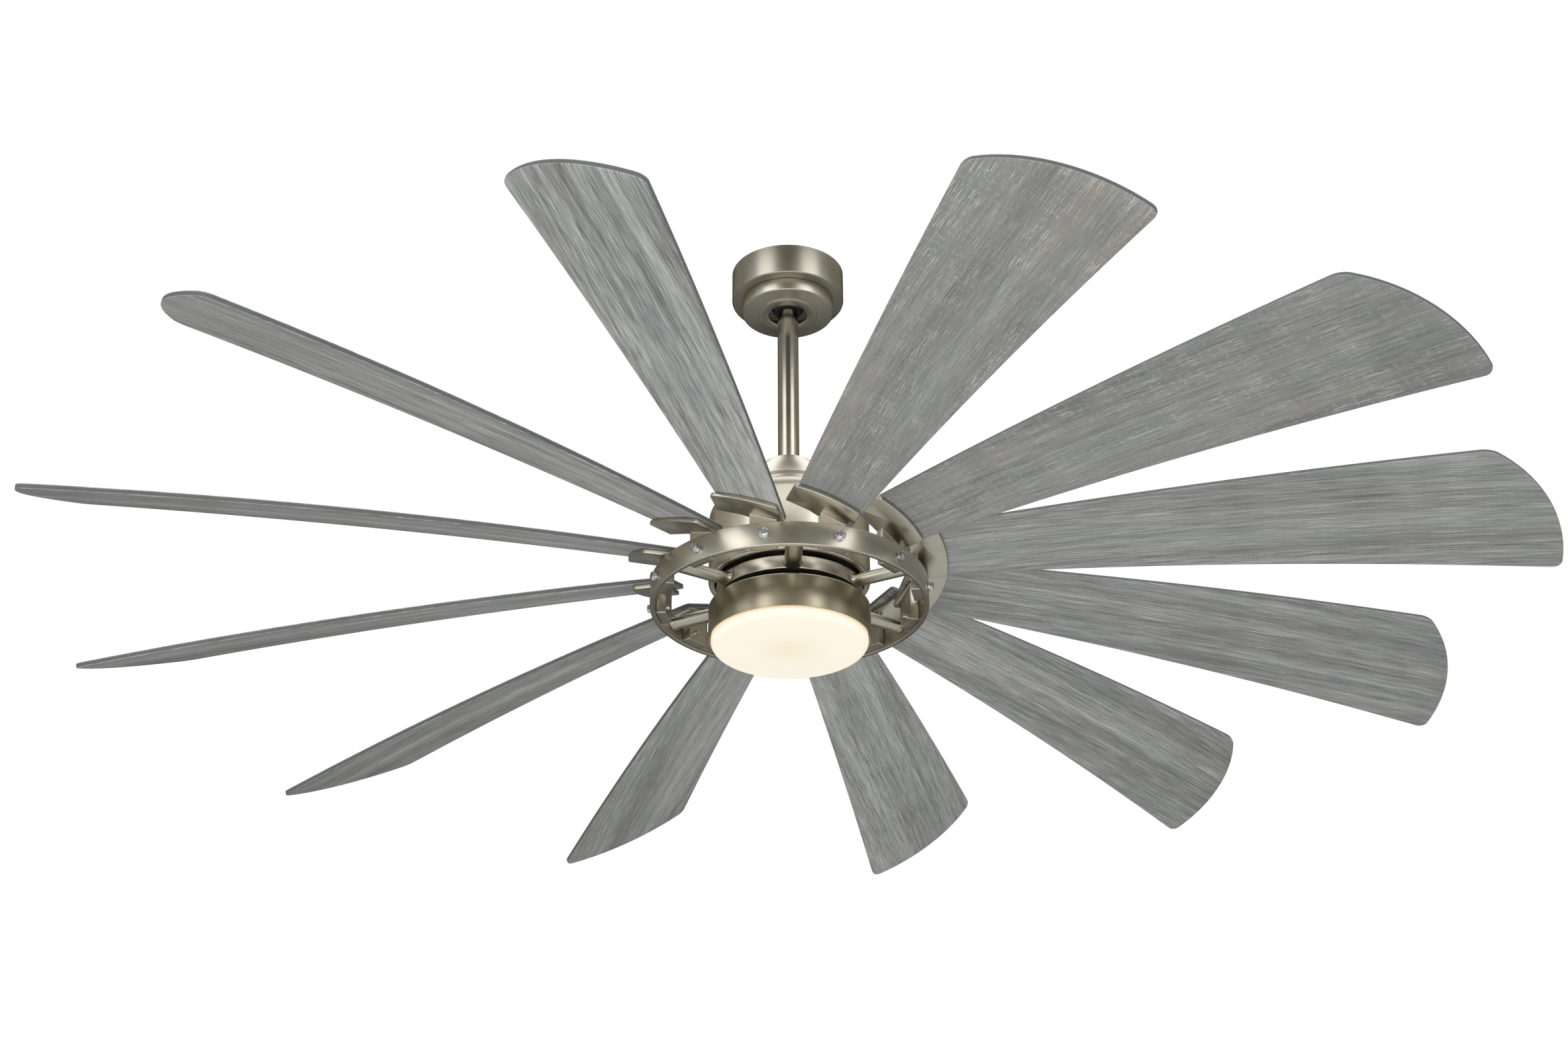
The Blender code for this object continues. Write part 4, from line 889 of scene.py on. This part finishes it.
def blade(index):
    bm = thick_blade()
    for strip in range(1, STRIPS_ALONG):
        reach = ROOT_REACH + (TIP_REACH - ROOT_REACH) * strip / STRIPS_ALONG
        cut_at(bm, (reach, 0, 0), (1, 0, 0))
    for across in CUTS_ACROSS:
        cut_at(bm, (0, across, 0), (0, 1, 0))
    for name, values, fall in (("brushed", BRUSHED, 0), ("rubbed", RUBBED, 0), ("wash", WASHED, WASH_FALL)):
        layer = bm.verts.layers.float.new(name)
        for vert in bm.verts:
            vert[layer] = values[index] - fall * (vert.co.x - ROOT_REACH)
    grain = bm.loops.layers.uv.new("grain")
    for face in bm.faces:
        for corner in face.loops:
            x, y, z = corner.vert.co
            corner[grain].uv = (x + GRAIN_SHIFT[0] * index,
                                y + GRAIN_SHIFT[1] * index + (TOP_SHIFT if z > 0 else 0))
    bmesh.ops.triangulate(bm, faces=[face for face in bm.faces if len(face.verts) > 4])
    for vert in bm.verts:
        vert.co = bent(vert.co)
    return turned(bm, blade_turn(index))


for i in range(BLADES):
    dress(f"wood_blade_{i + 1:02d}", blade(i), wood, "rotor", [f"blade_{i + 1:02d}"])

# %% [markdown]
# ## Blade brackets
# A bracket is cast in one piece: a pitched plate whose outer lip is an arc, and a leg that bends down from
# it to a foot inside the ring. The plate's edges are eased, and that thin bright line is what the eye reads
# first. The plate is drawn flat, like the blade, pulled to its thickness and pitched as the blade's root
# is.

# %% Draw the bracket plate
PLATE_THICKNESS = 0.0055
LIP_RADIUS = 0.14
LIP_OFFSET = 0.009
LIP_STEPS = 16
PLATE_PLUS = 0.033
PLATE_MINUS = -0.051
PLATE_ROUNDING = 0.0038
BACK_ROUNDING = 0.001
PLATE_EASE = 0.001
LEG_INNER = 0.1506
LEG_OUTER = 0.1596
TAIL = LEG_INNER - 0.008
BACK = LEG_INNER + 0.003
WAIST_PLUS = -0.010
WAIST_MINUS = -0.020


def plate_plane():
    """The pitched plane of the middle of a blade's root."""
    return Matrix.Translation((0, 0, BLADE_LEVEL)) @ Matrix.Rotation(-BLADE_PITCH, 4, "X")


def bracket_plate():
    bm = bmesh.new()
    lip = [bm.verts.new(point) for point in arc(
        PLATE_REACH - LIP_RADIUS, -LIP_OFFSET, LIP_RADIUS, PLATE_MINUS, PLATE_PLUS, LIP_STEPS)]
    inner = [bm.verts.new((x, y, 0)) for x, y in (
        (TAIL, PLATE_PLUS), (LEG_INNER, WAIST_PLUS), (BACK, WAIST_MINUS), (BACK, PLATE_MINUS))]
    bm.faces.new(lip + inner)
    round_corners(bm, [lip[0], lip[-1], inner[0]], PLATE_ROUNDING, 4)
    round_corners(bm, [inner[3]], BACK_ROUNDING, 4)
    bmesh.ops.translate(bm, verts=bm.verts, vec=(0, 0, -BLADE_THICKNESS / 2 - FIT_GAP))
    pull(bm, (0, 0, -PLATE_THICKNESS))
    ease_rims(bm, PLATE_EASE)
    bmesh.ops.transform(bm, matrix=plate_plane(), verts=bm.verts)
    return bm


print("bracket plate has", len(bracket_plate().faces), "faces")

# %% [markdown]
# The leg starts as its side view, one face whose inner and outer bends are rounded corners. It is pulled
# across, and its inner side is inset, as a casting has a raised rim there. Its upper part is sheared to
# follow the pitch of the plate, while the foot stays square to the ring.

# %% Shape the leg
LEG_ANGLE = math.radians(3.4)
LEG_PLUS = 0.013
LEG_MINUS = -0.020
LEG_STRIPS = 8
LEG_RIM = 0.002
LEG_DISH = 0.0008
LEG_EASE = 0.0007
BEND_OUTSIDE = 0.008
BEND_INSIDE = 0.0059
FOOT_ROUNDING = 0.002
FOOT_REACH = RING_INNER - FIT_GAP
FOOT_LOW = RING_BOTTOM + 0.003
FOOT_TOP = FOOT_LOW + 0.020
FOOT_SLOPE = 0.0035
KNEE = 0.006
PLATE_DROP = (BLADE_THICKNESS / 2 + FIT_GAP + PLATE_THICKNESS) / math.cos(BLADE_PITCH)
UNDER_PLATE = BLADE_LEVEL - PLATE_DROP + 0.0002
INTO_PLATE = UNDER_PLATE + 0.0012
SHEAR_TOP = UNDER_PLATE - 0.009


def bracket_leg():
    bm = bmesh.new()
    side = [bm.verts.new((x, 0, z)) for x, z in (
        (LEG_OUTER, FOOT_TOP + FOOT_SLOPE), (FOOT_REACH, FOOT_TOP), (FOOT_REACH, FOOT_LOW),
        (LEG_INNER, FOOT_LOW), (LEG_INNER, INTO_PLATE), (LEG_OUTER + KNEE, INTO_PLATE),
        (LEG_OUTER + KNEE, UNDER_PLATE), (LEG_OUTER, UNDER_PLATE))]
    bm.faces.new(side)
    for corner, rounding in ((side[4], BEND_OUTSIDE), (side[7], BEND_INSIDE), (side[0], FOOT_ROUNDING)):
        round_corners(bm, [corner], rounding, 6)
    bmesh.ops.translate(bm, verts=bm.verts, vec=(0, LEG_MINUS, 0))
    pull(bm, (0, LEG_PLUS - LEG_MINUS, 0))
    bmesh.ops.inset_region(bm, faces=[face for face in bm.faces if face.normal.x < -0.99], thickness=LEG_RIM,
                           depth=-LEG_DISH, use_even_offset=True)
    for strip in range(1, LEG_STRIPS):
        cut_at(bm, (0, LEG_MINUS + (LEG_PLUS - LEG_MINUS) * strip / LEG_STRIPS, 0), (0, 1, 0))
    bmesh.ops.recalc_face_normals(bm, faces=bm.faces)
    ease_rims(bm, LEG_EASE)
    return bm


def shear_leg(bm):
    """Tilt the top with the plate, round the foot to the ring and turn the leg to its place."""
    slope = math.tan(BLADE_PITCH)
    for vert in bm.verts:
        share = min(1, max(0, (vert.co.z - FOOT_TOP) / (SHEAR_TOP - FOOT_TOP)))
        vert.co.z -= slope * vert.co.y * share
        nearness = max(0, (vert.co.x - LEG_OUTER) / (FOOT_REACH - LEG_OUTER)) * (1 - share)
        vert.co.x -= (FOOT_REACH - math.sqrt(FOOT_REACH ** 2 - vert.co.y ** 2)) * min(1, nearness)
    return turned(bm, LEG_ANGLE)


print("leg has", len(shear_leg(bracket_leg()).faces), "faces")

# %% [markdown]
# Plate and leg are cast together, so they share one mesh.

# %% Place the brackets
for i in range(BLADES):
    bm = bracket_plate()
    join(bm, shear_leg(bracket_leg()))
    turned(bm, blade_turn(i))
    dress(f"cast_bracket_{i + 1:02d}", bm, nickel, "rotor", [f"blade_bracket_{i + 1:02d}"])

# %% [markdown]
# ## Bolts and screws
# A chrome hexagon head sits on the outside of the ring at each bracket, with the chamfered corners that
# every hexagon bolt has, and the bolt's end shows inside. Three pan head screws hold each blade from above.

# %% Bolts through the ring
BOLT_LEVEL = -0.468
BOLT_RADIUS = 0.003
BOLT_START = LEG_INNER - 0.002
HEAD_HALF = 0.005
HEAD_FACE = 0.0041
FACE_RIM = 0.0004
FACE_DISH = 0.0002
HEAD_START = RING_RADIUS + 0.0027
HEAD_END = HEAD_START + 0.0042
CONE_SLOPE = 0.6
WASHER_RADIUS = 0.0062
WASHER_END = RING_RADIUS + FIT_GAP + 0.001
SPRING_RADIUS = WASHER_RADIUS * 0.93
SPRING_START = WASHER_END + 0.0001
BOLT_EASE = 0.0003


def laid(bm, reach):
    """Turn what stands at the origin to point along +X, and move it out to `reach`."""
    lay = Matrix.Translation((reach, 0, BOLT_LEVEL)) @ Matrix.Rotation(math.pi / 2, 4, "Y")
    bmesh.ops.transform(bm, matrix=lay, verts=bm.verts)
    return bm


def bar(radius, start, end, sides):
    """A bar along +X from start to end."""
    bm = bmesh.new()
    bmesh.ops.create_cone(bm, cap_ends=True, segments=sides, radius1=radius, radius2=radius,
                          depth=end - start)
    return laid(bm, (start + end) / 2)


def hexagon_head():
    """A round face, a cone that turns the corners down, and six flats."""
    bm = bmesh.new()
    bmesh.ops.create_circle(bm, cap_ends=True, segments=24, radius=HEAD_FACE)
    for vert in new_verts(bmesh.ops.extrude_edge_only(bm, edges=bm.edges[:])):
        angle = math.atan2(vert.co.y, vert.co.x)
        reach = HEAD_HALF / math.cos(angle % (math.pi / 3) - math.pi / 6)
        vert.co = (reach * math.cos(angle), reach * math.sin(angle), (HEAD_FACE - reach) * CONE_SLOPE)
    rim = [edge for edge in bm.edges if edge.is_boundary]
    for vert in new_verts(bmesh.ops.extrude_edge_only(bm, edges=rim)):
        vert.co.z = HEAD_START - HEAD_END
    bmesh.ops.edgeloop_fill(bm, edges=[edge for edge in bm.edges if edge.is_boundary])
    bmesh.ops.recalc_face_normals(bm, faces=bm.faces)
    face = [f for f in bm.faces if f.normal.z > 0.99]
    bmesh.ops.inset_region(bm, faces=face, thickness=FACE_RIM, depth=-FACE_DISH)
    return laid(bm, HEAD_END)


def hexagon_bolt():
    """The head, a flat and a spring washer, and the bolt that goes through ring and foot."""
    bolt = hexagon_head()
    for radius, start, end, sides in (
            (WASHER_RADIUS, RING_RADIUS + FIT_GAP, WASHER_END, 40),
            (SPRING_RADIUS, SPRING_START, HEAD_START, 40),
            (BOLT_RADIUS, BOLT_START, RING_RADIUS, 24)):
        piece = bar(radius, start, end, sides)
        ease_rims(piece, BOLT_EASE)
        join(bolt, piece)
    return bolt


bolts = bmesh.new()
for i in range(BLADES):
    join(bolts, turned(hexagon_bolt(), LEG_ANGLE + blade_turn(i)))
dress("ring_bolts", bolts, chrome, "rotor", sharp=25)

# %% [markdown]
# Each screw stands square on the pitched blade, so it is turned on the lathe at the origin and then moved
# by the same plane as the bracket's plate.

# %% Screws on the blades
SCREW_PLACES = ((0.160, -0.030), (0.160, 0.018), (0.180, -0.006))
SCREW_RADIUS = 0.0046
SCREW_STEPS = 20


def blade_screw(x, y):
    """A pan head with a recess, standing on the blade's upper face."""
    bm = lathe([
        (0, 0, 0), (SCREW_RADIUS, 0, 0), (SCREW_RADIUS, 0.0011, 0.0006), (0.0012, 0.0024, 0),
        (0.0009, 0.0012, 0), (0, 0.0012, 0)], SCREW_STEPS)
    seat = plate_plane() @ Matrix.Translation((x, y, BLADE_THICKNESS / 2))
    bmesh.ops.transform(bm, matrix=seat, verts=bm.verts)
    return bm


screws = bmesh.new()
for i in range(BLADES):
    for x, y in SCREW_PLACES:
        join(screws, turned(blade_screw(x, y), blade_turn(i)))
dress("blade_screws", screws, chrome, "rotor")

# %% [markdown]
# ## Light
# The drum is a shallow spun pan below the hub. Its lower lip is rolled thin and shows as a line round the
# lens, so the profile is a pan whose wall is as thin as the sheet.

# %% Drum
DRUM_RADIUS = 0.0984
DRUM_TOP = -0.4829
DRUM_WALL = 0.0012
DRUM_HOLE = 0.0203
drum = lathe([
    (DRUM_HOLE, DRUM_TOP, 0), (DRUM_HOLE, DRUM_TOP - DRUM_WALL, 0),
    (DRUM_RADIUS - DRUM_WALL, DRUM_TOP - DRUM_WALL, 0.0015), (DRUM_RADIUS - DRUM_WALL, DRUM_BOTTOM, 0.0003),
    (DRUM_RADIUS, DRUM_BOTTOM, 0.0004), (DRUM_RADIUS, DRUM_TOP, 0.003)])
dress("drum_pan", drum, nickel_warm_painted_shade, "hanging", ["light_drum"])

# %% [markdown]
# The opal lens fills the drum's mouth: a cup with a rounded edge, a slightly crowned face and the small
# mark that the moulding leaves in the middle. A profile can hold a curve too, so the crown is a list of
# points from a formula, and only the cup's two corners are rounded afterwards.

# %% Lens
LENS_WALL = 0.0025
LENS_FLAT = DRUM_BOTTOM - 0.0082
LENS_DOME = 0.003
LENS_INNER = 0.0907
NECK_RADIUS = 0.0932
NECK_TOP = -0.5178
NECK_BOTTOM = DRUM_BOTTOM + 0.0035
CROWN_RADII = (0.0005, 0.012, 0.026, 0.04, 0.054, 0.068, 0.08, 0.088)
MOULD_MARK = 0.00015


def dome_height(radius):
    return LENS_FLAT - LENS_DOME * (1 - (radius / LENS_RADIUS) ** 2)


lens = lathe([
    (LENS_INNER, NECK_TOP, 0), (LENS_INNER, LENS_FLAT + LENS_WALL, 0.0045),
    (0, LENS_FLAT + LENS_WALL - LENS_DOME, 0), (0, dome_height(0) + MOULD_MARK, 0),
    *[(radius, dome_height(radius), 0) for radius in CROWN_RADII],
    (LENS_RADIUS, LENS_FLAT, 0.007), (LENS_RADIUS, NECK_BOTTOM, 0), (NECK_RADIUS, NECK_BOTTOM, 0),
    (NECK_RADIUS, NECK_TOP, 0)])
dress("opal_lens", lens, glass, "lens", ["lens"])

# %% [markdown]
# ## Finishes for the pieces that keep their CAD shape
# Hidden pieces such as the hanger, the motor and the driver already have the right shape. They only need
# their material slots filled.

# %% Finish the CAD pieces
KEPT = {
    "hanger_bracket": zinc, "remote_receiver": nylon, "ball_pin": zinc, "motor_yoke": zinc, "yoke_pin": zinc,
    "motor_shaft": zinc, "stator": iron, "light_plate": zinc, "shaft_nut": zinc, "led_driver": casing,
    "led_tray": zinc, "led_board": casing, "rotor_case": zinc, "rotor_cover": zinc, "magnet_ring": magnet,
    "upper_bearing": chrome, "lower_bearing": chrome}
for name, finish in KEPT.items():
    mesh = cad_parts[name].data
    mesh.materials.clear()
    mesh.materials.append(finish)
print("finished", len(KEPT), "CAD pieces")

# %% [markdown]
# ## Studio
# The fan hangs in a plain studio with a pale floor far below it and white all round, which the world gives
# to the camera and to reflections. Metal shows nothing but what is round it, so plain screens that only
# reflections see shape it: a grey ceiling, dull ones behind the fan and at its sides, which draw dark edges
# on each cylinder, three by the camera, which part the two bright lobes of the photograph, and a white card
# before the housing, which glows like a small lamp, so that the housing shows it as a bright reflection.

# %% Floor, studio ceiling and screens
AIM = Vector((0, 0, -0.45))
FLOOR_LEVEL = -4.6


def sheet(name, width, height, place, finish):
    """A flat sheet, put where the matrix `place` says."""
    bm = bmesh.new()
    bmesh.ops.create_grid(bm, x_segments=1, y_segments=1, size=0.5)
    bmesh.ops.scale(bm, verts=bm.verts, vec=(width, height, 1))
    bmesh.ops.transform(bm, verts=bm.verts, matrix=place)
    mesh = bpy.data.meshes.new(name)
    bm.to_mesh(mesh)
    bm.free()
    mesh.materials.append(finish)
    made = bpy.data.objects.new(name, mesh)
    bpy.context.scene.collection.objects.link(made)
    return made


def plain(name, shade, warmth=0.03, glow=0.0):
    """A dull even finish. A warm one is short of blue and a little short of green. With a glow it also gives
    light.
    """
    finish = Finish(name, roughness=1.0, emission_strength=glow)
    return finish.set(Base_Color=(shade, shade * (1 - warmth / 4), shade * (1 - warmth)))


def facing(azimuth, elevation, distance):
    """A place that faces the fan from this direction. Azimuth 0 is the camera's side."""
    side, up = math.radians(azimuth), math.radians(elevation)
    way = Vector((math.sin(side) * math.cos(up), -math.cos(side) * math.cos(up), math.sin(up)))
    return Matrix.Translation(AIM + way * distance) @ way.to_track_quat("Z", "Y").to_matrix().to_4x4()


def at(*place):
    return Matrix.Translation(place)


floor = sheet("floor", 46, 46, at(0, 0, FLOOR_LEVEL), plain("pale_floor", 0.86))
screens = [
    sheet("studio_ceiling", 14, 14, at(0, 0, 2.8), plain("grey_ceiling", 0.50)),
    sheet("back_screen", 4.6, 5.1, at(0, 2.4, 0.2) @ UPRIGHT, plain("dark_screen", 0.08, 0.3)),
    sheet("left_screen", 2.8, 4.4, facing(-110, 6, 3.0), plain("left_dark_screen", 0.32, 0.3)),
    sheet("right_screen", 2.8, 4.4, facing(110, 6, 3.0), plain("right_dark_screen", 0.32, 0.3)),
    sheet("front_screen_high", 2.8, 1.2, facing(0, 39, 4.0), plain("grey_screen", 0.15, 0.35)),
    sheet("front_screen_middle", 2.0, 0.95, facing(0, 24, 4.1), plain("middle_screen", 0.28, 0.35)),
    sheet("front_screen_low", 2.4, 1.2, facing(0, 9, 4.0), plain("low_grey_screen", 0.20, 0.35)),
    # the card glows like a small lamp that only reflections see, and the housing shows it as a bright band
    sheet("housing_glow_card", 0.22, 0.11, at(0, -0.3, -0.26) @ UPRIGHT, plain("card", 0.9, 0.1, glow=1.0))]
for screen in screens:
    screen.visible_camera = False
    screen.visible_diffuse = False
    screen.visible_shadow = False
print("stage has", floor.name, "and", [screen.name for screen in screens])

# %% [markdown]
# The world is white for the camera, for reflections and for what is seen through glass, and a dimmer bluish
# white for the light it sheds. Light Path tells the two apart, so the white background costs the fan no
# contrast.

# %% World
SURROUND_COLOR = (0.93, 0.96, 1.0, 1)
SURROUND_STRENGTH = 0.82
world = bpy.data.worlds.new("studio")
bpy.context.scene.world = world
world.use_nodes = True
tree = world.node_tree
surround = tree.nodes["Background"]
surround.inputs["Color"].default_value = SURROUND_COLOR
surround.inputs["Strength"].default_value = SURROUND_STRENGTH
white = tree.nodes.new("ShaderNodeBackground")
white.inputs["Color"].default_value = (1, 1, 1, 1)
path = tree.nodes.new("ShaderNodeLightPath")
seen = [path.outputs[name] for name in ("Is Camera Ray", "Is Glossy Ray", "Is Transmission Ray")]
share = seen[0]
for other in seen[1:]:
    largest = tree.nodes.new("ShaderNodeMath")
    largest.operation = "MAXIMUM"
    tree.links.new(share, largest.inputs[0])
    tree.links.new(other, largest.inputs[1])
    share = largest.outputs[0]
mix = tree.nodes.new("ShaderNodeMixShader")
tree.links.new(share, mix.inputs[0])
tree.links.new(surround.outputs[0], mix.inputs[1])
tree.links.new(white.outputs[0], mix.inputs[2])
tree.links.new(mix.outputs[0], tree.nodes["World Output"].inputs["Surface"])
print("world is white to", [output.name for output in seen])

# %% [markdown]
# Four soft boxes light the fan: one from each side of the camera, one from below, which fills the blades'
# lower faces, and one from above. Each prints its radiance, which is the strength that a reflection of it
# shows.

# %% Lamps
def soft_box(name, place, width, height, power):
    lamp = bpy.data.lights.new(name, "AREA")
    lamp.shape = "RECTANGLE"
    lamp.size = width
    lamp.size_y = height
    lamp.energy = power
    made = bpy.data.objects.new(name, lamp)
    made.matrix_world = place
    bpy.context.scene.collection.objects.link(made)
    print(name, "gives", round(power / (math.pi * width * height), 2), "W per m2 and steradian")


soft_box("left_box", facing(-43, 22, 3.4), 1.8, 1.7, 22)
soft_box("right_box", facing(45, 22, 3.4), 1.8, 1.7, 22)
soft_box("low_fill", facing(-10, -38, 2.1), 3.0, 1.6, 24)
soft_box("top_box", facing(180, 78, 2.8), 3.2, 3.2, 44)
